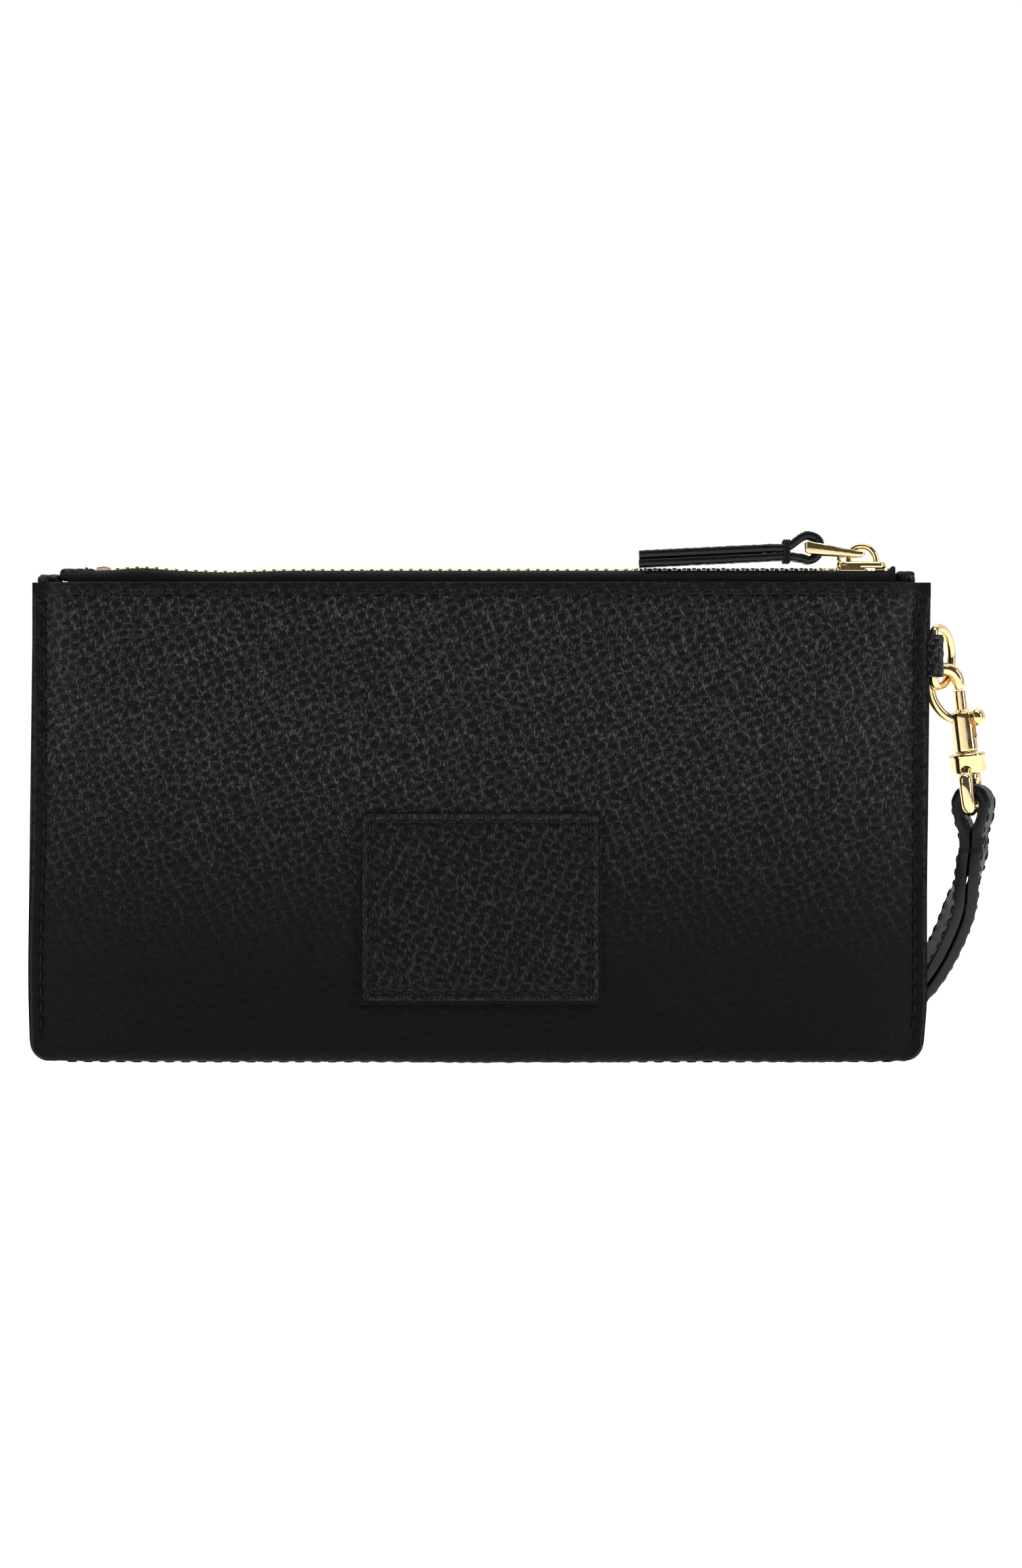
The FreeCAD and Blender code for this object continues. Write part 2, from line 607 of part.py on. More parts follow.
def make_d_ring():
    centre = RING_REACH - RING_HALF
    corner_z = math.sqrt((RING_HALF - RING_CORNER) ** 2 - (centre - RING_CORNER) ** 2)
    reach = RING_HALF / (RING_HALF - RING_CORNER)
    meet_x = centre + (RING_CORNER - centre) * reach
    meet_z = corner_z * reach
    knee = math.atan2(meet_z - corner_z, meet_x - RING_CORNER)
    half_way = 0.5 * (knee + math.pi)
    bend = (RING_CORNER * (1.0 + math.cos(half_way)),
            corner_z + RING_CORNER * math.sin(half_way))

    def at(x, z):
        return Vector(x, 0, z)
    edges = [Part.Arc(at(meet_x, meet_z), at(bend[0], bend[1]), at(0, corner_z)).toShape(),
             Part.makeLine(at(0, corner_z), at(0, -corner_z)),
             Part.Arc(at(0, -corner_z), at(bend[0], -bend[1]), at(meet_x, -meet_z)).toShape(),
             Part.Arc(at(meet_x, -meet_z), at(RING_REACH, 0), at(meet_x, meet_z)).toShape()]
    ring = wire_sweep(edges, RING_WIRE)
    NODES["d_ring"] = place(ring, turned(RING_X, 0, RING_Z, RING_TURN))

    height = RING_TAB_TOP - RING_TAB_LOW
    base = Vector(RING_X, 0, RING_TAB_LOW)
    tongue_half = SEAM_HALF - PANEL - 0.1
    tongue = box((SEAM_X + 0.2, -tongue_half, RING_TAB_LOW), (RING_X, tongue_half, RING_TAB_TOP))
    wrap = Part.makeCylinder(RING_TAB_RADIUS, height, base)
    waist = box((SIDE_HALF + 0.1, -1.6, RING_TAB_LOW), (RING_X, 1.6, RING_TAB_TOP))
    seam_side = box((RING_X - 4, -4, RING_TAB_LOW - 1), (SIDE_HALF + 0.1, 4, RING_TAB_TOP + 1))
    tab = wrap.fuse(waist).cut(seam_side).fuse(tongue)
    bore = Part.makeCylinder(RING_WIRE + RING_FIT, height + 2, base - Vector(0, 0, 1))
    NODES["d_ring_tab"] = tab.cut(bore).removeSplitter().Solids[0]


def make_hook():
    # Local frame: X = 0 is the barrel's axis and the hook's centre is at X = -HOOK_ARC.
    low, top = BARREL_SPAN
    tip = BOLT_SPAN[1] + 0.15
    back_x, back_z = -1.8, 10.6
    outer_x = -2 * HOOK_ARC
    rise = HOOK_RISE - back_z
    run = back_x - outer_x
    back_radius = (run ** 2 + rise ** 2) / (2 * run)
    back_angle = math.asin(rise / back_radius)
    back_centre = outer_x + back_radius
    half = 0.5 * back_angle
    middle = Vector(back_centre - back_radius * math.cos(half), 0,
                    HOOK_RISE - back_radius * math.sin(half))
    edges = [Part.makeLine(Vector(0, 0, tip), Vector(0, 0, HOOK_RISE)),
             Part.Arc(Vector(0, 0, HOOK_RISE), Vector(-HOOK_ARC, 0, HOOK_RISE + HOOK_ARC),
                      Vector(outer_x, 0, HOOK_RISE)).toShape(),
             Part.Arc(Vector(outer_x, 0, HOOK_RISE), middle, Vector(back_x, 0, back_z)).toShape()]
    claw = wire_sweep(edges, HOOK_WIRE)
    barrel = Part.makeCylinder(BARREL, top - low, Vector(0, 0, low))
    mouth = [e for e in barrel.Edges if e.Vertexes[0].Z > top - 0.01 and e.Closed]
    barrel = barrel.makeFillet(0.5, mouth)
    bore = Part.makeCylinder(BORE, tip - BORE_FLOOR, Vector(0, 0, BORE_FLOOR))
    floor_hole = Part.makeCylinder(TENON, 2.0, Vector(0, 0, low - 0.5))
    slot_low = KNOB_HEIGHT - BOLT_TRAVEL - SLOT_HALF
    slot = box((0, -SLOT_HALF, slot_low), (5, SLOT_HALF, KNOB_HEIGHT + SLOT_HALF))
    slot.rotate(Vector(0, 0, 0), Vector(0, 0, 1), -KNOB_TURN)
    body = barrel.fuse(claw).cut(bore).cut(floor_hole).cut(slot)
    bolt_path = Part.makeCylinder(BORE, tip - top + 0.5, Vector(0, 0, top - 0.5))
    NODES["hook_body"] = place(body.cut(bolt_path).removeSplitter().Solids[0], snap_frame())

    head_top = -COLLAR_HALF - 0.1
    rivet = Part.makeCylinder(POST, low - head_top, Vector(0, 0, head_top))
    head = Part.makeCylinder(RIVET_HEAD, 0.9, Vector(0, 0, head_top - 0.9))
    tenon = Part.makeCylinder(TENON, BORE_FLOOR - low, Vector(0, 0, low))
    NODES["swivel_rivet"] = place(rivet.fuse([head, tenon]).removeSplitter().Solids[0], snap_frame())


def make_bolt():
    low, top = BOLT_SPAN
    bolt = Part.makeCylinder(BOLT, top - low, Vector(0, 0, low))
    crown = [e for e in bolt.Edges if e.Vertexes[0].Z > top - 0.01 and e.Closed]
    bolt = bolt.makeFillet(0.25, crown)
    hole = Part.makeCylinder(KNOB_STEM, 5, Vector(0, 0, KNOB_HEIGHT), Vector(1, 0, 0))
    hole.rotate(Vector(0, 0, 0), Vector(0, 0, 1), -KNOB_TURN)
    NODES["bolt"] = place(bolt.cut(hole).Solids[0], snap_frame())

    # Thumb knob: a stem through the slot and a mushroom head outside the barrel.
    under, flat, dome, head_radius = 3.1, 0.9, 1.5, 2.0
    ball_radius = (head_radius ** 2 + dome ** 2) / (2 * dome)
    ball = Part.makeSphere(ball_radius, Vector(0, 0, under + flat + dome - ball_radius))
    cap = ball.common(box((-5, -5, under + flat), (5, 5, under + flat + dome + 1)))
    flare = Part.makeCone(0.6 * head_radius, head_radius, flat, Vector(0, 0, under))
    stem = Part.makeCylinder(KNOB_STEM, under + 0.5 * flat)
    knob = stem.fuse([flare, cap]).removeSplitter()
    knob.rotate(Vector(0, 0, 0), Vector(0, 1, 0), 90)
    knob.rotate(Vector(0, 0, 0), Vector(0, 0, 1), -KNOB_TURN)
    knob.translate(Vector(0, 0, KNOB_HEIGHT))
    NODES["thumb_knob"] = place(knob.Solids[0], snap_frame())

    start, height = BORE_FLOOR + 0.3, low - BORE_FLOOR - 0.6
    sections = []
    for f in fractions(SPRING_TURNS * 20 + 1):
        angle = 2 * math.pi * SPRING_TURNS * f
        section = []
        for i in range(9):
            around = 2 * math.pi * i / 8
            reach = SPRING_COIL + SPRING_WIRE * math.cos(around)
            section.append(Vector(reach * math.cos(angle), reach * math.sin(angle),
                                  start + height * f + SPRING_WIRE * math.sin(around)))
        sections.append(Part.makePolygon(section))
    NODES["bolt_spring"] = place(outward(Part.makeLoft(sections, True, True)), snap_frame())


def make_swivel():
    collar = Part.makeCylinder(COLLAR, 2 * COLLAR_HALF, Vector(0, 0, -COLLAR_HALF))
    rims = [e for e in collar.Edges if e.Closed]
    collar = collar.makeFillet(0.8, rims)

    # The eye is a stirrup of wire: two arms out of the collar and a bar for the strap.
    shoulder_z, corner = -3.6, 2.0
    foot_z = -EYE_BAR_DROP
    start = (2.6, -0.9)

    def at(width, z):
        return Vector(0, width, z)
    slant = math.atan2(EYE_HALF - start[0], start[1] - shoulder_z)
    soft = 1.0 - math.cos(math.radians(45))
    right = [Part.makeLine(at(*start), at(EYE_HALF, shoulder_z)),
             Part.makeLine(at(EYE_HALF, shoulder_z), at(EYE_HALF, foot_z + corner)),
             Part.Arc(at(EYE_HALF, foot_z + corner),
                      at(EYE_HALF - corner * soft, foot_z + corner * soft),
                      at(EYE_HALF - corner, foot_z)).toShape()]
    arm = Part.makeCylinder(EYE_WIRE, right[0].Length, at(*start),
                            Vector(0, math.sin(slant), -math.cos(slant)))
    knuckle = Part.makeSphere(EYE_WIRE, at(EYE_HALF, shoulder_z))
    leg = wire_sweep(right[1:], EYE_WIRE)
    bar = Part.makeCylinder(EYE_WIRE, 2 * (EYE_HALF - corner), at(-EYE_HALF + corner, foot_z),
                            Vector(0, 1, 0))
    half = arm.fuse([knuckle, leg])
    stirrup = half.fuse([half.mirror(Vector(0, 0, 0), Vector(0, 1, 0)), bar])
    eye = collar.fuse(stirrup)
    bore = Part.makeCylinder(POST + RING_FIT, 20, Vector(0, 0, -10))
    well = Part.makeCylinder(3.2, 6.0, Vector(0, 0, -COLLAR_HALF - 6.0))
    clear = well.cut(box((-5, -9, -20), (5, 9, -COLLAR_HALF - 1.6)))
    eye = eye.cut(bore).cut(clear).fuse(bar)
    frame = snap_frame()
    level = FreeCAD.Rotation(Vector(0, 0, 1), STRAP_TURN - HOOK_TURN)
    NODES["swivel_eye"] = place(eye.removeSplitter().Solids[0],
                                FreeCAD.Placement(frame.Base, frame.Rotation.multiply(level)))


def strap_middle():
    """Closed middle line of the strap: over the bar, down both legs and round the far fold."""
    offset = STRAP_PLY + STRAP_SLIT
    lying = STRAP_FLOOR + STRAP_PLY + offset
    landing = STRAP_LANDING
    fall = smooth_run([(0.0, 51.0), (-1.7, 43.0), (-5.3, 31.5), (-11.4, 20.6), (-20.5, 11.6),
                       (-32.0, 5.4), (landing, lying)], 34, (-0.15, -1.0), (-1.0, 0.0))
    fold_x, bulb = STRAP_END, STRAP_BULB
    rest = [(landing + (fold_x - landing) * f, lying) for f in fractions(9)][1:]
    centre = fall + rest
    lower, upper = beside(centre, offset), beside(centre, -offset)
    # The upper leg lifts a little before the fold, so that the leather turns round a small bulb.
    lift = 2 * (bulb - offset)
    upper = [(x, z + lift * smooth_step((fold_x - x) / STRAP_LIFT_RUN + 1.0)) for x, z in upper]
    bulb_z = STRAP_FLOOR + STRAP_PLY + bulb
    fold = [(fold_x - bulb * math.cos(math.radians(a)), bulb_z + bulb * math.sin(math.radians(a)))
            for a in range(-75, 76, 15)]
    over = [(STRAP_LOOP * math.cos(math.radians(a)),
             STRAP_LOOP_Z + STRAP_LOOP * math.sin(math.radians(a))) for a in range(180, -1, -30)]
    loop = [upper[0], (-2.2, 54.8), (-3.0, 58.6)] + over + [(3.0, 58.6), (2.2, 54.8), lower[0]]
    teardrop = smooth_run(loop, 60, (0.15, 1.0), (-0.15, -1.0))
    return teardrop[:-1] + lower + fold + upper[:0:-1]


def make_strap():
    bar = eye_bar_point()
    frame = turned(bar.x, bar.y, 0.0, STRAP_TURN)
    middle = strap_middle()
    gap = 0.03
    rims = [beside(middle, d, closed=True) for d in (STRAP_PLY, gap, -gap, -STRAP_PLY)]
    NODES["strap_outer_ply"] = place(strip(rims[0], STRAP_HALF, rims[1]), frame)
    NODES["strap_inner_ply"] = place(strip(rims[2], STRAP_HALF, rims[3]), frame)
    low, top = STRAP_BARTACK
    wide, deep = STRAP_BARTACK_HALF, STRAP_HALF + 0.05
    band = box((-wide, -deep - THREAD + 0.05, low), (wide, deep + THREAD - 0.05, top))
    core = box((THREAD - wide, -deep, low - 1), (wide - THREAD, deep, top + 1))
    NODES["strap_bartack"] = place(band.cut(core).Solids[0], frame)


def main():
    os.makedirs("parts", exist_ok=True)
    for make in (make_pouch, make_zip, make_slider, make_pull, make_d_ring, make_hook, make_bolt,
                 make_swivel, make_strap):
        make()
    for name, shape in NODES.items():
        shape.exportStep("parts/%s.step" % name)
        print("%-22s solids %3d  volume %9.2f  valid %s" % (
            name, len(shape.Solids), shape.Volume, shape.isValid()))


main()
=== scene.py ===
import json
import math

import bmesh
import bpy
import numpy as np
from mathutils import Matrix, Vector


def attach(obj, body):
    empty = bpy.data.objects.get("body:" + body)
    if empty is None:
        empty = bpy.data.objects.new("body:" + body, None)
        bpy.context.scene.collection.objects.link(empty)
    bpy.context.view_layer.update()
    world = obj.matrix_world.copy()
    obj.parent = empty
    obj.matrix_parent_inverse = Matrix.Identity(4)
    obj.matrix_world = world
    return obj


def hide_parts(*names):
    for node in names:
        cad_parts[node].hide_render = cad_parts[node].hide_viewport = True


# A slim upright leather wristlet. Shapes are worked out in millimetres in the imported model's frame
# (+X right, +Y back, +Z up, origin on the surface at the middle of the base) and made in metres.

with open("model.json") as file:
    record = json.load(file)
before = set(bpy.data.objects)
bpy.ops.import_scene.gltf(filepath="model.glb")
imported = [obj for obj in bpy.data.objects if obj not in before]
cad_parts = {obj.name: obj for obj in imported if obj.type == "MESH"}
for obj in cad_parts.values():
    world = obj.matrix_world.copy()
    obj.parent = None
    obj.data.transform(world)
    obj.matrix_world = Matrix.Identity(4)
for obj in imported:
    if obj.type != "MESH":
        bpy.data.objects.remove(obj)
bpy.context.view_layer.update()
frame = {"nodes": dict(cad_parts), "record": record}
MM = 0.001

SIDE = 107.3          # half length over the side seams
SEAM_X = 104.3        # side stitch line
TOP = 115.0           # leather's top edge
TOP_SEAM = 112.2      # stitch line under the top edge
CORNER = 4.5          # rounding of the bottom corners
PLY = 1.3             # outer leather
BASE_LIFT = 0.3       # the leather clears the surface by the thickness of the base seams' thread
PATCH = (-28.2, 28.8, 14.7, 59.9)
PATCH_CORNER = 1.8
PATCH_INSET = 2.2     # of the patch's stitch line
TAPE_TOP = 117.3
TAPE_SPAN = (-98.5, 99.6)
TOOTH_PITCH = 2.34    # along one row
STRAP_PLY = 1.35      # half the thickness of one ply
STRAP_SLIT = 0.15     # half the gap between the plies
STRAP_HALF = 5.0      # half width
STRAP_LOOP = (3.3, 62.1)       # radius and height of the loop round the swivel's eye
STRAP_TWIST = math.radians(26.0)
RING_BOW = (2.55, 7.05)        # middle and radius of the D-ring's bow
RING_WIRE = 1.1
CLAW = (3.6, 19.7)             # bend and rise of the snap's claw
FACES = {-1: "front", 1: "back"}


# ---- numbers ----
def smooth(value):
    """0 below 0, 1 above 1, with a soft run between."""
    t = np.clip(value, 0.0, 1.0)
    return t * t * (3.0 - 2.0 * t)


def hump(value, middle, width):
    """A soft bump of height 1."""
    return np.exp(-((value - middle) / width) ** 2)


def waves(u, v, size, seed):
    """Smooth noise from -1 to 1, its swells about size across."""
    table = np.random.RandomState(seed).uniform(-1.0, 1.0, (64, 64))
    a, b = np.asarray(u) / size, np.asarray(v) / size
    i, j = np.floor(a).astype(int), np.floor(b).astype(int)
    f, g = smooth(a - i), smooth(b - j)
    low = table[i % 64, j % 64] * (1 - f) + table[(i + 1) % 64, j % 64] * f
    high = table[i % 64, (j + 1) % 64] * (1 - f) + table[(i + 1) % 64, (j + 1) % 64] * f
    return low * (1 - g) + high * g


def cells(a, b, seed):
    """Distances from each place to its nearest and second nearest scattered point, one point a unit."""
    table = np.random.RandomState(seed).uniform(0.2, 0.8, (2, 96, 96))
    i, j = np.floor(a).astype(int), np.floor(b).astype(int)
    near, second = np.full(a.shape, 9.0), np.full(a.shape, 9.0)
    for di in (-1, 0, 1):
        for dj in (-1, 0, 1):
            p, q = (i + di) % 96, (j + dj) % 96
            far = np.hypot(i + di + table[0, p, q] - a, j + dj + table[1, p, q] - b)
            second = np.minimum(second, np.maximum(near, far))
            near = np.minimum(near, far)
    return near, second


def grain(u, v, seed=3, size=2.45):
    """Pebbled leather grain: 0 in the creases between the pebbles, 1 on top of them."""
    u, v = np.asarray(u, float), np.asarray(v, float)
    x = u + 0.45 * waves(u, v, 3.9, seed + 1)
    y = v + 0.45 * waves(u, v, 3.4, seed + 2)
    turn = math.radians(-27.0)
    along = (x * math.cos(turn) + y * math.sin(turn)) / (1.14 * size)
    across = (y * math.cos(turn) - x * math.sin(turn)) / (0.84 * size)
    near, second = cells(along + 90.0, across + 90.0, seed)
    dome = smooth((second - near) / 0.60)
    crinkle = 0.5 + 0.5 * waves(along * 7.0, across * 3.0, 1.0, seed + 7)
    return np.clip(dome - 0.2 * crinkle * (1.0 - dome), 0.0, 1.0)


# ---- the pouch's shape ----
def middle_depth(z):
    return 9.2 - 2.04e-4 * (z - 40.0) ** 2


def fullness(x, z):
    """0 at the side seams and beyond, 1 at mid length."""
    power = 6.0 + 18.0 * smooth((z - 70.0) / 45.0)
    value = 1.0 - (np.abs(x) / SEAM_X) ** power
    return 0.5 * (value + np.sqrt(value * value + 0.0036))


def half_depth(x, z):
    """Distance of the leather's outer face from the middle plane."""
    return 1.9 + (middle_depth(z) - 1.9) * fullness(x, z)


def side_shift(x, z):
    """How far the side edges flare beyond straight, as the real pouch's do."""
    left = 1.0 * hump(z, 22.0, 26.0) - 0.15
    right = 0.9 * smooth((z - 104.0) / 8.0) - 0.8 * smooth((16.0 - z) / 14.0)
    return np.where(x < 0, -left, right) * smooth((np.abs(x) - 92.0) / 14.0)


# ---- meshes ----
def placed(name, data):
    """A new object in the scene."""
    obj = bpy.data.objects.new(name, data)
    bpy.context.scene.collection.objects.link(obj)
    return obj


def quads(rows, cols, wrap_rows=False, wrap_cols=False):
    """Faces of a grid of points listed row by row."""
    r = np.arange(rows if wrap_rows else rows - 1)[:, None]
    c = np.arange(cols if wrap_cols else cols - 1)[None, :]
    below, right = (r + 1) % rows, (c + 1) % cols
    return np.stack([r * cols + c, r * cols + right, below * cols + right, below * cols + c],
                    -1).reshape(-1, 4)


def grid_body(rows, cols):
    """Faces of a closed body whose rows of points go round its section: the grid and its two ends."""
    return quads(rows, cols, wrap_rows=True).tolist() + [[r * cols for r in range(rows)],
                                                         [r * cols + cols - 1 for r in range(rows)]]


def make(name, points, faces, body, slot, looks, nodes=(), marks=None, which=None):
    """A piece from points in millimetres. looks is a material or a list, which picks one per face."""
    mesh = bpy.data.meshes.new(name)
    mesh.from_pydata((np.asarray(points, float) * MM).tolist(), [],
                     faces.tolist() if hasattr(faces, "tolist") else faces)
    for look in looks if isinstance(looks, list) else [looks]:
        mesh.materials.append(look)
    if which is not None:
        mesh.polygons.foreach_set("material_index", np.asarray(which, np.int32))
    if marks is not None:
        # Grain marks: 1 on pebble tops, lower in creases; the leather looks paint lighter glint flecks where
        # they are low.
        layer = mesh.attributes.new("grain", "FLOAT", "POINT")
        layer.data.foreach_set("value", np.asarray(marks, np.float32).ravel())
    mesh.polygons.foreach_set("use_smooth", np.ones(len(mesh.polygons), bool))
    work = bmesh.new()
    work.from_mesh(mesh)
    bmesh.ops.recalc_face_normals(work, faces=work.faces)
    work.to_mesh(mesh)
    work.free()
    mesh.update()
    piece = placed(name, mesh)
    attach(piece, body)
    if nodes:
        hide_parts(*nodes)
    return piece


def joined(parts):
    """One list of points and one of faces from several (points, faces) pairs."""
    points, faces, start = [], [], 0
    for some, made in parts:
        some = np.asarray(some, float).reshape(-1, 3)
        points.append(some)
        faces += [[start + i for i in face] for face in np.asarray(made, object).tolist()]
        start += len(some)
    return np.concatenate(points), faces


def capped(rings):
    """Points and faces of a closed body through a stack of rings with equally many points."""
    rings = np.asarray(rings, float)
    count, around = rings.shape[:2]
    faces = quads(count, around, wrap_cols=True).tolist()
    faces += [list(range(around)), list(range((count - 1) * around, count * around))]
    return rings.reshape(-1, 3), faces


def unit(vectors):
    vectors = np.asarray(vectors, float)
    return vectors / np.maximum(np.linalg.norm(vectors, axis=-1, keepdims=True), 1e-9)


def tangents(path, closed=False):
    """Unit directions along a path."""
    if closed:
        return unit(np.roll(path, -1, 0) - np.roll(path, 1, 0))
    return unit(np.gradient(path, axis=0))


def left_of(path, closed=False):
    """Unit normals to the left of a flat path."""
    ahead = tangents(path, closed)
    return np.stack([-ahead[:, 1], ahead[:, 0]], 1)


def lengths(path):
    """How far along the path each of its points is."""
    return np.concatenate([[0], np.cumsum(np.linalg.norm(np.diff(path, axis=0), axis=1))])


def arc(middle, height, radius, degrees):
    """Points of an arc, as flat pairs."""
    return [(middle + radius * math.cos(math.radians(a)), height + radius * math.sin(math.radians(a)))
            for a in degrees]


def squared(half_width, half_height, count=40):
    """Points of a flat ring between an oval and a rectangle."""
    for a in np.linspace(0, 2 * math.pi, count, endpoint=False):
        c, s = math.cos(a), math.sin(a)
        yield (math.copysign(min(1.0, abs(c) * 1.35) ** 0.6, c) * half_width,
               math.copysign(min(1.0, abs(s) * 1.35) ** 0.6, s) * half_height)


def tube(path, radius, around=12, closed=False):
    """Round wire along a path; radius may change along it."""
    path = np.asarray(path, float)
    radius = np.broadcast_to(np.asarray(radius, float), len(path))
    ahead = tangents(path, closed)
    side = np.zeros_like(path)
    first = np.array([0.0, 1.0, 0.0]) if abs(ahead[0][1]) < 0.8 else np.array([1.0, 0.0, 0.0])
    side[0] = unit(first - ahead[0] * first.dot(ahead[0]))
    for i in range(1, len(path)):
        side[i] = unit(side[i - 1] - ahead[i] * side[i - 1].dot(ahead[i]))
    other = np.cross(ahead, side)
    turn = np.linspace(0, 2 * math.pi, around, endpoint=False)
    ring = (side[:, None] * np.cos(turn)[None, :, None] + other[:, None] * np.sin(turn)[None, :, None])
    points = path[:, None] + ring * radius[:, None, None]
    if closed:
        return points.reshape(-1, 3), quads(len(path), around, True, True)
    return capped(points)


def curve(points, count, closed=False):
    """Points on a smooth run through a few, evenly spaced along it."""
    points = np.asarray(points, float)
    if closed:
        padded = np.concatenate([points[-1:], points, points[:2]])
    else:
        padded = np.concatenate([2 * points[:1] - points[1:2], points, 2 * points[-1:] - points[-2:-1]])
    fine = []
    for i in range(1, len(padded) - 2):
        p0, p1, p2, p3 = padded[i - 1:i + 3]
        for t in np.linspace(0, 1, 24, endpoint=False):
            fine.append(0.5 * (2 * p1 + (p2 - p0) * t + (2 * p0 - 5 * p1 + 4 * p2 - p3) * t * t
                               + (3 * p1 - p0 - 3 * p2 + p3) * t ** 3))
    fine.append(padded[-2])
    fine = np.array(fine)
    run = lengths(fine)
    at = np.linspace(0, run[-1], count, endpoint=not closed)
    return np.stack([np.interp(at, run, fine[:, k]) for k in range(fine.shape[1])], 1)


def rounded_box(low, high, radius, step=0.5, lift=None):
    """A box with rounded edges and a dense surface; lift(points, normals) may raise it."""
    low, high = np.array(low, float), np.array(high, float)
    work = bmesh.new()
    bmesh.ops.create_cube(work, size=2.0)
    cuts = int(min(60, max(6, np.max(high - low) / step)))
    bmesh.ops.subdivide_edges(work, edges=work.edges, cuts=cuts, use_grid_fill=True)
    raw = np.array([v.co for v in work.verts])
    faces = [[v.index for v in f.verts] for f in work.faces]
    work.free()
    radius = min(radius, 0.49 * float(np.min(high - low)))
    # Rows crowd towards the edges, so that the rounding is smooth.
    raw = np.sign(raw) * (1 - (1 - np.abs(raw)) ** 1.35)
    point = 0.5 * (low + high) + raw * 0.5 * (high - low)
    core = np.clip(point, low + radius, high - radius)
    normal = unit(point - core)
    point = core + normal * radius
    if lift is not None:
        point = point + normal * np.asarray(lift(point, normal))[:, None]
    return point, faces


def threads(starts, ends, normals, radius=0.25, rise=0.06, dive=0.35, around=6, steps=7):
    """Stitches: short bowed lengths of thread whose ends dive into the leather."""
    starts, ends, normals = (np.asarray(a, float) for a in (starts, ends, normals))
    t = np.linspace(0, 1, steps)[None, :, None]
    bow = rise * np.sin(math.pi * t) ** 0.7 - dive * np.abs(2 * t - 1) ** 6
    line = starts[:, None] * (1 - t) + ends[:, None] * t + normals[:, None] * bow
    ahead = unit(ends - starts)
    side = unit(np.cross(normals, ahead))
    turn = np.linspace(0, 2 * math.pi, around, endpoint=False)
    spread = (side[:, None, None] * np.cos(turn)[None, None, :, None]
              + normals[:, None, None] * np.sin(turn)[None, None, :, None])
    thick = radius * (0.72 + 0.28 * np.sin(math.pi * t[..., 0]))
    points = line[:, :, None] + spread * thick[..., None, None]
    one = quads(steps, around, wrap_cols=True)
    size = steps * around
    faces = (one[None] + (np.arange(len(starts)) * size)[:, None, None]).reshape(-1, 4).tolist()
    for k in range(len(starts)):
        faces += [list(range(k * size, k * size + around)),
                  list(range((k + 1) * size - around, (k + 1) * size))]
    return points.reshape(-1, 3), faces


# ---- materials ----
class Look:
    """A procedural material: a Principled shader and the texture nodes that feed it."""

    def __init__(self, name, **values):
        self.material = bpy.data.materials.new(name)
        self.material.use_nodes = True
        self.tree = self.material.node_tree
        self.shader = self.tree.nodes["Principled BSDF"]
        for key, value in values.items():
            self.shader.inputs[key.replace("_", " ")].default_value = value
        self.where = self.tree.nodes.new("ShaderNodeTexCoord").outputs["Object"]

    def node(self, kind, inputs=(), **settings):
        made = self.tree.nodes.new(kind)
        for key, value in settings.items():
            setattr(made, key, value)
        for key, value in dict(inputs).items():
            if isinstance(value, bpy.types.NodeSocket):
                self.tree.links.new(value, made.inputs[key])
            else:
                made.inputs[key].default_value = value
        return made

    def place(self, size, turn=(0, 0, 0)):
        """Texture coordinates in units of size millimetres along each axis."""
        scale = [1.0 / (s * MM) for s in size]
        return self.node("ShaderNodeMapping", {"Vector": self.where, "Scale": scale,
                                               "Rotation": turn}).outputs[0]

    def noise(self, size, detail=2.0, turn=(0, 0, 0)):
        return self.node("ShaderNodeTexNoise", {"Vector": self.place(size, turn), "Scale": 1.0,
                                                "Detail": detail, "Roughness": 0.5}).outputs["Fac"]

    def plates(self, size, turn=(0, 0, 0)):
        return self.node("ShaderNodeTexVoronoi", {"Vector": self.place(size, turn), "Scale": 1.0},
                         feature="DISTANCE_TO_EDGE").outputs["Distance"]

    def wave(self, size, turn=(0, 0, 0), distortion=0.0):
        return self.node("ShaderNodeTexWave", {"Vector": self.place((size,) * 3, turn), "Scale": 1.0,
                                               "Distortion": distortion}).outputs["Fac"]

    def mark(self):
        return self.node("ShaderNodeAttribute", attribute_name="grain").outputs["Fac"]

    def sum(self, a, b, operation="ADD"):
        return self.node("ShaderNodeMath", {0: a, 1: b}, operation=operation).outputs[0]

    def ramp(self, value, low, high, start=0.0, end=1.0):
        return self.node("ShaderNodeMapRange", {"Value": value, "From Min": start, "From Max": end,
                                                "To Min": low, "To Max": high}).outputs[0]

    def colour(self, value, dark, light):
        mix = self.node("ShaderNodeMix", {"Factor": value}, data_type="RGBA")
        mix.inputs[6].default_value = (*dark, 1)
        mix.inputs[7].default_value = (*light, 1)
        self.tree.links.new(mix.outputs[2], self.shader.inputs["Base Color"])

    def rough(self, value):
        self.tree.links.new(value, self.shader.inputs["Roughness"])

    def bump(self, height, depth, strength=1.0):
        """Adds a relief of depth millimetres on top of any before."""
        inputs = {"Height": height, "Distance": depth * MM, "Strength": strength}
        before = self.shader.inputs["Normal"]
        if before.is_linked:
            inputs["Normal"] = before.links[0].from_socket
        made = self.node("ShaderNodeBump", inputs)
        self.tree.links.new(made.outputs[0], before)


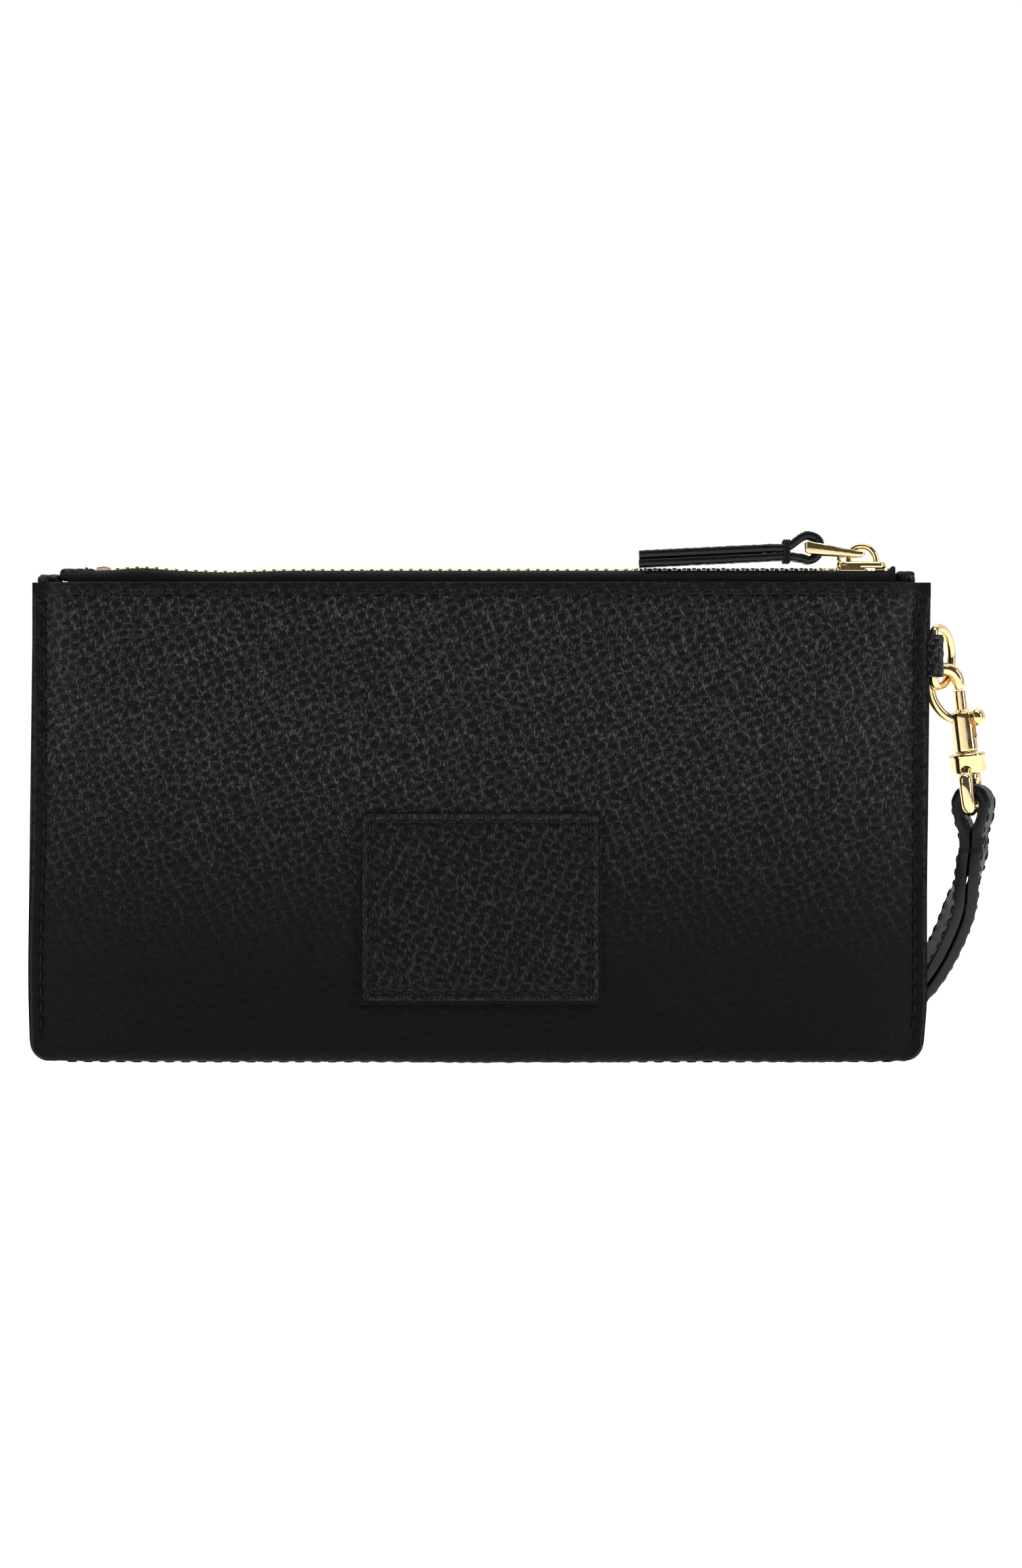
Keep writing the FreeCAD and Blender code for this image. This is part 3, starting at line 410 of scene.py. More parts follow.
def leather_look(name, tone=1.0, rough=(0.20, 0.52), relief=1.0):
    """Pebble tops are nearly black; flecks in the wrinkled creases between them get a lighter colour,
    painted glints where light would catch the crease walls.
    """
    look = Look(name, IOR=1.45, Specular_IOR_Level=0.13)
    mark = look.mark()
    streak = look.noise((0.30, 0.30, 0.95), 1.5, (0, math.radians(68), 0))
    crease = look.ramp(mark, 1.0, 0.0, 0.15, 0.85)
    # Painted glints: streaky flecks in the creases get a lighter base colour.
    painted_glint = look.sum(crease, look.ramp(streak, 0.05, 1.0, 0.47, 0.69), "MULTIPLY")
    look.colour(painted_glint, (0.0012 * tone, 0.0012 * tone, 0.0013 * tone),
                (0.082 * tone, 0.081 * tone, 0.080 * tone))
    cloud = look.noise((14, 14, 14), 1.0)
    look.rough(look.sum(look.ramp(mark, rough[0], rough[1]), look.ramp(cloud, -0.05, 0.05)))
    wrinkle = look.plates((0.95, 0.95, 0.6), (0, math.radians(35), 0))
    look.bump(look.ramp(wrinkle, 0, 1, 0.0, 0.16), 0.07 * relief, 0.8)
    look.bump(look.sum(streak, look.ramp(mark, 1.0, 0.12), "MULTIPLY"), 0.55 * relief, 1.0)
    return look.material


def edge_look(name, tone=(0.0035, 0.0035, 0.0038), rough=0.36):
    look = Look(name, Specular_IOR_Level=0.24)
    streak = look.noise((0.5, 0.5, 7.0), 2.0)
    look.colour(streak, tuple(0.7 * c for c in tone), tuple(1.3 * c for c in tone))
    look.rough(look.ramp(streak, rough - 0.08, rough + 0.10))
    look.bump(look.noise((0.9, 0.9, 2.2), 2.0), 0.07)
    return look.material


def thread_look(name):
    look = Look(name, Specular_IOR_Level=0.25)
    twist = look.wave(0.34, (0, math.radians(40), math.radians(25)), 1.5)
    look.colour(twist, (0.0015, 0.0015, 0.0015), (0.006, 0.006, 0.0062))
    look.rough(look.ramp(look.noise((0.3, 0.3, 0.3)), 0.42, 0.62))
    look.bump(twist, 0.06)
    return look.material


def cloth_look(name, dark, light, size=0.5):
    look = Look(name, Specular_IOR_Level=0.12)
    one = look.wave(size, (0, math.radians(45), 0), 0.4)
    two = look.wave(size, (0, math.radians(-45), 0), 0.4)
    weave = look.sum(one, two, "MULTIPLY")
    look.colour(weave, dark, light)
    look.rough(look.ramp(look.noise((0.4, 0.4, 0.4)), 0.62, 0.85))
    look.bump(weave, 0.09)
    return look.material


def metal_look(name, dark, light, rough=(0.05, 0.12), relief=0.010):
    look = Look(name, Metallic=1.0)
    look.colour(look.noise((6, 6, 6), 1.0), dark, light)
    look.rough(look.ramp(look.noise((1.6, 1.6, 1.6), 3.0), rough[0], rough[1], 0.3, 0.7))
    look.bump(look.noise((2.4, 2.4, 2.4), 2.0), relief, 0.6)
    return look.material


LEATHER = leather_look("pebbled_leather")
PATCH_LEATHER = leather_look("patch_leather", 0.45, (0.38, 0.50), 0.7)
STRAP_LEATHER = leather_look("strap_leather", 0.35, (0.34, 0.46), 0.8)
EDGE = edge_look("edge_paint")
STRAP_EDGE = edge_look("strap_edge_paint", (0.0030, 0.0036, 0.0052), 0.30)
THREAD = thread_look("bonded_thread")
TAPE = cloth_look("zip_tape", (0.0010, 0.0010, 0.0011), (0.0150, 0.0150, 0.0155), 0.75)
LINING = cloth_look("lining_cloth", (0.008, 0.008, 0.009), (0.022, 0.022, 0.024), 0.5)
BOARD = cloth_look("fibre_board", (0.03, 0.028, 0.026), (0.06, 0.056, 0.052), 0.9)
GOLD = metal_look("gold_plate", (0.62, 0.46, 0.23), (0.74, 0.57, 0.32))
TEETH_GOLD = metal_look("zip_gold", (0.86, 0.72, 0.46), (0.95, 0.84, 0.60), (0.22, 0.34), 0.015)
STEEL = metal_look("spring_steel", (0.50, 0.50, 0.51), (0.62, 0.62, 0.63), (0.18, 0.30))


# ---- leather panels ----
def patch_distance(x, z):
    """Distance outside the patch's outline; negative inside it."""
    left, right, low, top = PATCH
    dx = np.maximum(left - x, x - right)
    dz = np.maximum(low - z, z - top)
    return np.maximum(dx, dz)


def stitch_line(start, end, pitch):
    """Where the stitches along a flat line start and end."""
    start, end = np.array(start, float), np.array(end, float)
    count = max(2, int(round(np.linalg.norm(end - start) / pitch)))
    step = (end - start) / count
    at = start + step * np.arange(count)[:, None]
    return at + 0.13 * step, at + 0.87 * step


def wall_seams():
    """Stitches of one panel on its flat outline: the two side seams and the top seam."""
    lines = [((-SEAM_X, 7.5), (-SEAM_X, 111.0), 3.9), ((SEAM_X, 7.5), (SEAM_X, 111.0), 3.9),
             ((-102.5, TOP_SEAM), (102.5, TOP_SEAM), 3.8)]
    return tuple(np.concatenate(part) for part in zip(*(stitch_line(*line) for line in lines)))


def patch_seams():
    left, right, low, top = PATCH
    left, right, low, top = left + PATCH_INSET, right - PATCH_INSET, low + PATCH_INSET, top - PATCH_INSET
    corners = [(left, top), (right, top), (right, low), (left, low)]
    sides = [stitch_line(corners[i], corners[(i + 1) % 4], 3.45) for i in range(4)]
    return tuple(np.concatenate(part) for part in zip(*sides))


def dimples(x, z, holes, width):
    """1 in the middle of each stitch hole."""
    total = np.zeros(x.shape)
    for hole in holes:
        near = (np.abs(x - hole[0]) < 3 * width) & (np.abs(z - hole[1]) < 3 * width)
        if near.any():
            total[near] += np.exp(-((x[near] - hole[0]) ** 2 + (z[near] - hole[1]) ** 2) / width ** 2)
    return total


def wall_relief(x, z, side):
    """Height of the leather above its smooth shape, and its grain mark: 1 on pebble tops and lower in the
    creases, pushed back towards 1 near the bottom so that the painted glints fade there.
    """
    pebbles = grain(x * side, z, 3 if side < 0 else 11)
    calm = 1.0 - 0.62 * smooth((np.abs(x) - SEAM_X + 0.8) / 1.0)
    calm = calm * (1.0 - 0.66 * smooth((z - TOP_SEAM - 0.3) / 0.8))
    lines = hump(np.abs(x), SEAM_X, 0.55) * (z > 5.0) + hump(z, TOP_SEAM, 0.5) * (np.abs(x) < SEAM_X)
    starts, ends = wall_seams()
    holes = np.concatenate([starts, ends])
    low = 0.45 + 0.55 * smooth((z - 8.0) / 62.0)
    height = 0.36 * low * (pebbles - 0.6) * calm - 0.20 * np.clip(lines, 0, 1)
    height = height - 0.26 * dimples(x, z, holes, 0.75)
    height = height + 0.22 * waves(x, z, 26.0, 5 + side) * fullness(x, z)
    if side < 0:
        height = height - 0.22 * hump(patch_distance(x, z), 0.5, 0.7)
    # Painted glints: the creases' share, faded towards the bottom where less light from above falls, sets
    # where the leather look paints lighter flecks.
    crease_and_painted_glint = (1.0 - pebbles) * calm * (0.12 + 0.88 * smooth((z - 12.0) / 75.0))
    return height, np.clip(1.0 - crease_and_painted_glint, 0, 1)


def corner_rise(x):
    """Height of the bottom edge where the corners are rounded."""
    past = np.clip(np.abs(x) - (SIDE - CORNER), 0.0, CORNER)
    return CORNER - np.sqrt(np.maximum(CORNER ** 2 - past ** 2, 0.0))


def panel(side, step):
    rim = [-SIDE, SIDE, -SIDE + 0.15, SIDE - 0.15, -SIDE + 0.35, SIDE - 0.35]
    x = np.sort(np.concatenate([np.arange(-SIDE + 0.6, SIDE - 0.59, step), rim]))
    rows = []

    def row(depth, z, ny, nz, raise_by):
        """One line of points along the length, pushed out along (ny, nz) by the relief."""
        height, mark = wall_relief(x, z, side)
        shift = height * raise_by
        rows.append((np.stack([x + side_shift(x, z), side * (depth + shift * ny), z + shift * nz], 1),
                     mark))

    full = fullness(x, np.zeros_like(x))
    turn = 1.5 + 1.5 * full
    edge = 3.5 * full + 0.15
    rise = corner_rise(x) + BASE_LIFT
    reach = lambda z: half_depth(x, z)
    lift = lambda z: rise + z * (TOP - rise) / TOP
    # Inner face from the bottom up, over the painted top edge, down the outer face and under.
    for z in (1.3, 4.0, 30.0, 60.0, 90.0, 108.0, 113.5):
        z = np.full_like(x, z)
        row(reach(z) - PLY if z[0] > 2 else edge + 0.3, lift(z), 0, 0, 0)
    for drop, inset in ((0.45, PLY), (0.13, PLY - 0.13), (0.0, PLY - 0.45), (0.0, 0.45), (0.13, 0.13)):
        z = np.full_like(x, TOP - drop)
        row(reach(z) - inset, z, 0, 0.3, 0.35)
    count = int((TOP - 3.0) / step)
    for f in np.linspace(0, 1, count):
        z = turn + (TOP - 0.45 - turn) * (1 - f)
        row(reach(lift(z)), lift(z), 1, 0, 1)
    centre = reach(turn) - turn
    for angle in np.linspace(0, 90, 9)[1:]:
        c, s = math.cos(math.radians(angle)), math.sin(math.radians(angle))
        z = turn * (1 - s)
        row(centre + turn * c, lift(z), c, -s, 1)
    for f in (0.4, 0.8, 1.0):
        row(centre + (edge - centre) * f, lift(np.zeros_like(x)), 0, -1, 0.6)
    points = np.concatenate([r[0] for r in rows])
    marks = np.concatenate([r[1] for r in rows])
    make("leather_" + FACES[side], points, grid_body(len(rows), len(x)), "pouch", "outer_leather", LEATHER,
         [FACES[side] + "_panel"], marks)


def wall_point(x, z, side, out):
    """A place on the wall, out millimetres from its outer face."""
    return np.stack([x + side_shift(x, z), side * (half_depth(x, z) + out), z], -1)


def seam_threads(side):
    starts, ends = wall_seams()
    normals = np.tile([0.0, side, 0.0], (len(starts), 1))
    made = threads(wall_point(starts[:, 0], starts[:, 1], side, 0.0),
                   wall_point(ends[:, 0], ends[:, 1], side, 0.0), normals)
    # The base seam's stitches stand a little below the leather.
    x0, x1 = stitch_line((-99.5, 0), (99.5, 0), 3.9)
    y = 3.5 * fullness(x0[:, 0], np.zeros(len(x0))) + 1.25
    low = BASE_LIFT + 0.02
    base = threads(np.stack([x0[:, 0], side * y, np.full(len(y), low)], 1),
                   np.stack([x1[:, 0], side * y, np.full(len(y), low)], 1),
                   np.tile([0.0, 0.0, -1.0], (len(y), 1)), 0.26, 0.0, 0.3)
    points, faces = joined([made, base])
    make("seam_thread_" + FACES[side], points, faces, "pouch", "thread", THREAD)


def patch():
    left, right, low, top = PATCH
    step = 0.42
    xs = np.linspace(left, right, int((right - left) / step))
    zs = np.linspace(low, top, int((top - low) / step))
    x, z = np.meshgrid(xs, zs)
    centre_x = np.clip(x, left + PATCH_CORNER, right - PATCH_CORNER)
    centre_z = np.clip(z, low + PATCH_CORNER, top - PATCH_CORNER)
    dx, dz = x - centre_x, z - centre_z
    length = np.hypot(dx, dz)
    scale = np.where(length > 1e-9, np.maximum(np.abs(dx), np.abs(dz)) / np.maximum(length, 1e-9), 1.0)
    x, z = centre_x + dx * scale, centre_z + dz * scale
    inner = np.minimum(np.minimum(xs[None] - left, right - xs[None]),
                       np.minimum(zs[:, None] - low, top - zs[:, None]))
    pebbles = grain(x, z, 21, 2.45)
    starts, ends = patch_seams()
    calm = smooth((inner - PATCH_INSET - 0.1) / 0.9)
    height = 0.95 * smooth((inner + 0.12) / 0.62) ** 0.6
    height = height + 0.20 * (pebbles - 0.65) * (0.15 + 0.85 * calm) * smooth(inner / 0.8)
    holes = dimples(x, z, np.concatenate([starts, ends]), 0.7)
    height = height - 0.22 * hump(inner, PATCH_INSET, 0.45) - 0.28 * holes
    height = np.where(inner < 1e-6, -0.1, height)
    front = np.stack([x, -(half_depth(x, z) + height), z], -1)
    rows, cols = x.shape
    rim = list(range(cols)) + [r * cols + cols - 1 for r in range(1, rows)] + [
        (rows - 1) * cols + c for c in range(cols - 2, -1, -1)] + [r * cols for r in range(rows - 2, 0, -1)]
    # Marks drop along the border band and stitch line, so the leather look paints more glint flecks there
    # and makes it glossier.
    make("label_leather", front.reshape(-1, 3), quads(rows, cols).tolist() + [rim], "pouch",
         "outer_leather", PATCH_LEATHER, ["label_patch"], pebbles * (0.35 + 0.65 * calm))
    up = np.tile([0.0, -1.0, 0.0], (len(starts), 1))
    points, faces = threads(wall_point(starts[:, 0], starts[:, 1], -1, 0.86),
                            wall_point(ends[:, 0], ends[:, 1], -1, 0.86), up, 0.26, 0.14)
    make("label_thread", points, faces, "pouch", "thread", THREAD)


def base_strip():
    x = np.arange(-101.6, 101.61, 0.8)
    v = np.linspace(-1, 1, 12)
    half = 3.5 * fullness(x, np.zeros_like(x)) + 0.2
    y = v[:, None] * half[None]
    xx = np.broadcast_to(x, y.shape)
    pebbles = grain(xx, y + 300.0, 5)
    z = BASE_LIFT + 0.12 - 0.2 * (pebbles - 0.6)
    bottom = np.stack([xx, y, z], -1)
    upper = np.stack([xx, y, np.full_like(y, 1.3)], -1)[::-1]
    points = np.concatenate([bottom, upper])
    marks = np.concatenate([pebbles, pebbles])
    make("base_strip", points.reshape(-1, 3), grid_body(len(points), len(x)), "pouch", "outer_leather",
         LEATHER, ["base_gusset"], marks.ravel())


def side_edge(side):
    """The painted edge where front and back are sewn together, from the corner to the top."""
    inset = 0.75
    bend = [(SIDE - CORNER + (CORNER - inset) * math.sin(a), CORNER - (CORNER - inset) * math.cos(a))
            for a in np.linspace(0.0, math.pi / 2, 12)]
    up = [(SIDE - inset, z) for z in np.linspace(CORNER + 0.6, TOP - 0.1, 150)]
    path = np.array([(SIDE - CORNER - 1.2, inset)] + bend + up)
    path = path + np.array([0, BASE_LIFT]) * smooth((10 - path[:, 1:]) / 10)
    outward = -left_of(path)
    turn = np.linspace(-math.pi, math.pi, 22, endpoint=False)
    rings = []
    for i, ((x, z), n) in enumerate(zip(path, outward)):
        end = min(1.0, 0.35 + 0.65 * min(i, len(path) - 1 - i) / 3.0)
        half = 1.98 * end
        ring = []
        for a in turn:
            c, s = math.cos(a), math.sin(a)
            out = math.copysign(abs(c) ** 0.62, c) * (inset if c > 0 else 0.55)
            y = math.copysign(abs(s) ** 0.55, s) * half
            groove = 0.10 * math.exp(-((abs(y) - 0.62) / 0.13) ** 2) * (c > 0)
            out = out + 0.05 * float(waves(z + 3 * y, y, 2.1, 31 + side)) - groove
            px = x + out * n[0]
            pz = z + out * n[1]
            ring.append((side * px + float(side_shift(np.array(side * px), np.array(pz))), y, pz))
        rings.append(ring)
    points, faces = capped(rings)
    name = "right" if side > 0 else "left"
    make("edge_paint_" + name, points, faces, "pouch", "outer_leather", EDGE, [name + "_edge_filler"],
         np.full(len(points), 0.8))


# ---- zip ----
def chain_wave(x):
    """The chain's gentle rise and dip near its left end."""
    return 0.62 * hump(x, -81.0, 6.0) - 0.42 * hump(x, -60.0, 9.0)


def tape(side):
    x = np.arange(TAPE_SPAN[0], TAPE_SPAN[1] + 0.01, 0.32)
    reach = half_depth(x, np.full_like(x, TOP)) - 1.6
    bend, pick = 1.5, 0.62      # rounding of the tape's shoulder, width of one row of the weave
    shoulder = reach - bend
    rows = []

    def row(y, z, ny, nz, v, weave):
        wave = np.cos(2 * math.pi * (x / 0.92 + 0.5 * np.floor(v / pick)))
        knot = wave * math.sin(math.pi * ((v / pick) % 1.0))
        out = 0.085 * weave * knot
        fade = smooth((z - 108.0) / 6.0)
        rise = chain_wave(x) * fade + 1.4 * smooth((x - 97.6) / 1.4) * smooth((z - 114.5) / 2.5)
        rows.append((np.stack([x, side * (y + out * ny), z + out * nz + rise], 1), 0.5 + 0.5 * knot))

    v = 0.0
    for f in np.linspace(0, 1, 13):
        y = 1.4 + (shoulder - 1.4) * f
        row(y, TAPE_TOP + 0.42 * hump(y, 3.75, 0.55), 0, 1, v, 1)
        v += 0.5 * pick
    for angle in np.linspace(0, 90, 9)[1:]:
        c, s = math.cos(math.radians(angle)), math.sin(math.radians(angle))
        row(shoulder + bend * s, np.full_like(x, TAPE_TOP - bend + bend * c), s, c, v, 1)
        v += 0.5 * pick
    for z in np.linspace(TAPE_TOP - bend - 0.5 * pick, 108.0, 20):
        row(reach, np.full_like(x, z), 1, 0, v, 1)
        v += 0.5 * pick
    inner = bend - 0.6
    for z in (108.0, 111.0, 114.0):
        row(reach - 0.6, np.full_like(x, z), 0, 0, 0, 0)
    for angle in (90, 60, 30, 0):
        c, s = math.cos(math.radians(angle)), math.sin(math.radians(angle))
        row(shoulder + inner * s, np.full_like(x, TAPE_TOP - bend + inner * c), 0, 0, 0, 0)
    row(np.full_like(x, 1.4), np.full_like(x, TAPE_TOP - 0.6), 0, 0, 0, 0)
    points = np.concatenate([r[0] for r in rows])
    marks = np.concatenate([np.broadcast_to(r[1], x.shape) for r in rows])
    make("tape_" + FACES[side], points, grid_body(len(rows), len(x)), "pouch", "zip_tape", TAPE,
         ["zipper_tape_" + FACES[side]], marks)


def tooth_rings():
    """One tooth as rounded sections from its clamp to its head: (y, half width, half height)."""
    spans = [(3.0, 0.40, 0.80), (2.86, 0.58, 1.02), (1.5, 0.62, 1.10), (1.2, 0.60, 1.06),
             (0.95, 0.40, 0.82), (0.3, 0.40, 0.80), (-0.1, 0.52, 0.84), (-0.72, 0.50, 0.80),
             (-0.9, 0.30, 0.55)]
    turn = np.linspace(0, 2 * math.pi, 16, endpoint=False) + math.pi / 16
    c, s = np.cos(turn), np.sin(turn)
    square_c, square_s = np.sign(c) * np.abs(c) ** 0.45, np.sign(s) * np.abs(s) ** 0.45
    return [np.stack([w * square_c, np.full(16, y), h * square_s], 1) for y, w, h in spans]


def teeth(side):
    rings = np.array(tooth_rings())
    rings[..., 1] *= side
    one, faces = capped(rings)
    parts = []
    jitter = np.random.RandomState(17 + side)
    for i in range(77):
        x = -86.6 + TOOTH_PITCH * i + (0.5 * TOOTH_PITCH if side > 0 else 0.0)
        tilt = jitter.uniform(-0.05, 0.05)
        tooth = one.copy()
        tooth[:, 0], tooth[:, 2] = one[:, 0] + tilt * one[:, 2], one[:, 2] - tilt * one[:, 0]
        z = 117.35 + float(chain_wave(x)) + jitter.uniform(-.05, .05)
        parts.append((tooth + np.array([x, 0, z]), faces))
    points, faces = joined(parts)
    make("teeth_" + FACES[side], points, faces, "pouch", "zip_metal", TEETH_GOLD,
         ["zipper_teeth_" + FACES[side]])


def zip_ends():
    points, faces = rounded_box((-91.9, -2.7, 116.4), (-88.2, 2.7, 118.75), 0.45, 0.4)
    points[:, 2] += 0.25 * hump(points[:, 0], -90.0, 1.0)
    make("bottom_clasp", points, faces, "pouch", "zip_metal", TEETH_GOLD, ["bottom_stop"])
    parts = [rounded_box((97.8, s * 1.55 - 1.0, 116.3), (99.3, s * 1.55 + 1.0, 118.5), 0.35, 0.4)
             for s in (-1, 1)]
    points, faces = joined(parts)
    make("top_clasps", points, faces, "pouch", "zip_metal", TEETH_GOLD, ["top_stops"])

    def pebbles(p, seed):
        return grain(p[:, 0] + p[:, 1], p[:, 2] - p[:, 1], seed, 1.9)

    def pebbled(seed):
        return lambda p, n: 0.16 * (pebbles(p, seed) - 0.6)

    def left_lift(p, n):
        return pebbled(41)(p, n) - 0.22 * hump(p[:, 0], -94.2, 0.35)

    points, faces = rounded_box((-100.5, -3.3, 115.4), (-91.9, 3.3, 118.25), 1.05, 0.3, left_lift)
    make("zip_tab_left", points, faces, "pouch", "outer_leather", LEATHER, ["zip_end_tab_left"],
         pebbles(points, 41))
    run = np.array([(-94.2, y, 118.3) for y in (-3.2, -0.9, 1.3, 3.5)])
    side_run = np.array([(-94.2, -3.3, z) for z in (118.1, 116.6)])
    made = joined([threads(run[:-1], run[1:] - [0, 0.5, 0], np.tile([0.0, 0, 1], (3, 1)), 0.22, 0.15),
                   threads(side_run[:-1], side_run[1:], [[0.0, -1, 0]], 0.22, 0.15)])
    make("zip_tab_thread", *made, "pouch", "thread", THREAD)
    parts = [rounded_box((99.8, -2.7, 114.4), (104.4, 2.7, 117.7), 1.1, 0.3, pebbled(43)),
             rounded_box((-106.0, -1.6, 113.5), (-100.0, 2.2, 116.9), 1.3, 0.4, pebbled(45))]
    points, faces = joined(parts)
    make("zip_tab_right", points, faces, "pouch", "outer_leather", LEATHER, ["zip_end_tab_right"],
         pebbles(points, 43))


# ---- slider and pull ----
def inset_outline(outline, distance):
    """A closed (x, y) outline moved inwards."""
    normal = left_of(outline, closed=True)
    area = np.sum(outline[:, 0] * np.roll(outline[:, 1], -1) - np.roll(outline[:, 0], -1) * outline[:, 1])
    return outline + normal * distance * (1.0 if area > 0 else -1.0)


def slab(outline, levels):
    """A plate whose closed outline is inset at each level: (z, inset) pairs."""
    return capped([np.column_stack([inset_outline(outline, inset), np.full(len(outline), z)])
                   for z, inset in levels])


def slider():
    half = [(85.6, 2.2), (86.3, 3.6), (88.5, 3.9), (91.0, 3.9), (93.0, 4.2), (95.6, 4.15), (97.0, 3.3),
            (97.5, 1.6)]
    outline = curve([(x, -y) for x, y in half] + [(x, y) for x, y in half[::-1]], 72, closed=True)
    crown = slab(outline, [(118.5, 0.5), (118.35, 0.1), (118.6, 0.0), (119.35, 0.02), (119.7, 0.16),
                           (119.88, 0.45), (119.93, 1.1)])
    keel = slab(outline, [(114.9, 0.6), (115.05, 0.15), (115.3, 0.0), (115.8, 0.0), (116.0, 0.3)])
    lips = [rounded_box((86.3, s * 3.56 - 0.36, 117.5), (92.5, s * 3.56 + 0.36, 119.2), 0.3, 0.4)
            for s in (-1, 1)]
    post = rounded_box((94.9, -0.9, 115.8), (97.2, 0.9, 118.7), 0.3)
    points, faces = joined([crown, keel, post] + lips)
    make("slider_plates", points, faces, "slider", "slider_metal", GOLD, ["slider_body"])

    arch = curve([(88.6, 0, 119.5), (88.8, 0, 121.6), (89.6, 0, 123.1), (91.3, 0, 123.75),
                  (93.2, 0, 123.4), (94.7, 0, 121.8), (95.3, 0, 119.5)], 40)
    width = 1.25 - 0.15 * np.cos(np.linspace(-1.4, 1.4, 40))
    points, faces = tube(arch, 0.78, 18)
    points[:, 1] *= np.repeat(width, 18) / 0.78
    points[:, 1] = np.sign(points[:, 1]) * 1.2 * np.clip(np.abs(points[:, 1]) / 1.2, 0, 1) ** 0.7
    make("bridge_arch", points, faces, "slider", "slider_metal", GOLD, ["slider_bridge"])
    nose = curve([(86.5, 0, 119.6), (86.2, 0, 120.6), (86.6, 0, 121.4), (87.3, 0, 121.1)], 16)
    points, faces = tube(nose, np.linspace(0.5, 0.34, 16), 12)
    points[:, 1] *= 1.6
    make("lock_nose", points, faces, "slider", "slider_metal", GOLD, ["slider_lock"])


def pull_tab():
    def outline(half, radius):
        full = np.array([(x, -y) for x, y in half] + [(x, y) for x, y in half[::-1]])
        dense = []
        for i in range(len(full)):
            a, b, c = full[i - 1], full[i], full[(i + 1) % len(full)]
            p, q = b + unit(a - b) * radius, b + unit(c - b) * radius
            dense += [p, 0.25 * p + 0.5 * b + 0.25 * q, q, 0.67 * q + 0.33 * (c + unit(b - c) * radius),
                      0.33 * q + 0.67 * (c + unit(b - c) * radius)]
        return np.array(dense)

    outer = outline([(77.9, 6.3), (83.1, 6.3), (90.0, 3.0), (92.4, 3.0)], 0.7)
    hole = outline([(79.6, 5.2), (82.7, 5.2), (89.6, 1.7), (90.8, 1.7)], 0.4)

    def faces_at(x):
        low = np.interp(x, [77.9, 78.2, 90.6, 91.8, 92.4], [122.0, 121.75, 120.95, 121.0, 121.4])
        top = np.interp(x, [77.9, 78.2, 90.6, 91.8, 92.4], [124.6, 124.85, 122.6, 122.5, 122.1])
        return low, top

    def ring(points, inset, level):
        low, top = faces_at(points[:, 0])
        return np.column_stack([inset_outline(points, inset), low + (top - low) * level])

    stack = [ring(outer, 0.32, 1.0), ring(outer, 0.08, 0.94), ring(outer, 0.0, 0.82),
             ring(outer, 0.0, 0.18), ring(outer, 0.08, 0.06), ring(outer, 0.32, 0.0),
             ring(hole, -0.2, 0.0), ring(hole, 0.0, 0.1), ring(hole, 0.0, 0.9), ring(hole, -0.2, 1.0)]
    points = np.concatenate(stack)
    faces = quads(len(stack), len(outer), wrap_rows=True, wrap_cols=True)
    make("tab_frame", points, faces, "pull", "slider_metal", GOLD, ["pull_tab"])


def ribbon(path, half_thick, half_width, seed, step_across=0.5, edge=0.55, closed=False, bumps=None):
    """A leather strip along a path in the plane y = 0, listed as (x, z) points.
    Gives points, faces, grain marks and which faces are painted edge."""
    path = np.asarray(path, float)
    normal = left_of(path, closed)
    run = lengths(path)
    count = max(4, int(2 * (half_width - edge) / step_across))
    flat = np.linspace(-half_width + edge, half_width - edge, count)
    bend = np.radians([72, 54, 36, 18, 0, -18, -36, -54, -72])
    # Around the section: outer face, far edge, inner face, near edge.
    section = [(y, half_thick, 1) for y in flat]
    section += [(half_width - edge + edge * math.cos(a), half_thick * math.sin(a), 0) for a in bend]
    section += [(y, -half_thick, -1) for y in flat[::-1]]
    section += [(-half_width + edge - edge * math.cos(a), -half_thick * math.sin(a), 0) for a in bend]
    rings, marks = [], []
    for y, out, face in section:
        pebble = grain(run, np.full_like(run, y) + 50.0 * face, seed, 2.2) if face else np.full(len(run), .9)
        extra = 0.16 * (pebble - 0.6) if face else np.zeros(len(run))
        if bumps is not None and face:
            extra = extra + bumps(run, y)
        distance = out + extra * face
        rings.append(np.stack([path[:, 0] + normal[:, 0] * distance, np.full(len(run), y),
                               path[:, 1] + normal[:, 1] * distance], 1))
        marks.append(pebble)
    points = np.stack(rings, 1)
    marks = np.stack(marks, 1).ravel()
    rows, cols = points.shape[:2]
    faces = quads(rows, cols, wrap_rows=closed, wrap_cols=True).tolist()
    kinds = np.array([s[2] for s in section])
    painted = (kinds == 0) | (np.roll(kinds, -1) == 0)
    which = np.tile(painted.astype(int), rows if closed else rows - 1)
    if not closed:
        faces += [list(range(cols)), list(range((rows - 1) * cols, rows * cols))]
        which = np.concatenate([which, [1, 1]])
    return points.reshape(-1, 3), faces, marks, which


def pull_strip():
    left, left_z, neck, neck_z = 38.3, 120.6, 73.6, 122.3
    offset = 1.05
    slope = (neck_z - left_z) / (neck - left)
    upper = [(x, left_z + slope * (x - left) + offset) for x in np.linspace(left, neck, 12)]
    lower = [(x, z - 2 * offset) for x, z in upper]
    turn = arc(78.8, 123.3, 2.95, range(120, -121, -30))
    path = curve(upper + turn + lower[::-1], 330)
    points, faces, marks, which = ribbon(path[::-1], 0.93, 5.0, 51, 0.45)
    make("pull_leather_strip", points, faces, "pull_strip", "strap_leather", [STRAP_LEATHER, STRAP_EDGE],
         ["pull_leather"], marks, which)
    turns = [[(x, y, 122.375 + z) for y, z in squared(5.15, 2.625)] for x in (73.0, 73.55, 74.1)]
    points, faces = joined([tube(turn, 0.27, 8, closed=True) for turn in turns])
    make("pull_thread", points, faces, "pull_strip", "thread", THREAD, ["pull_bartack"])


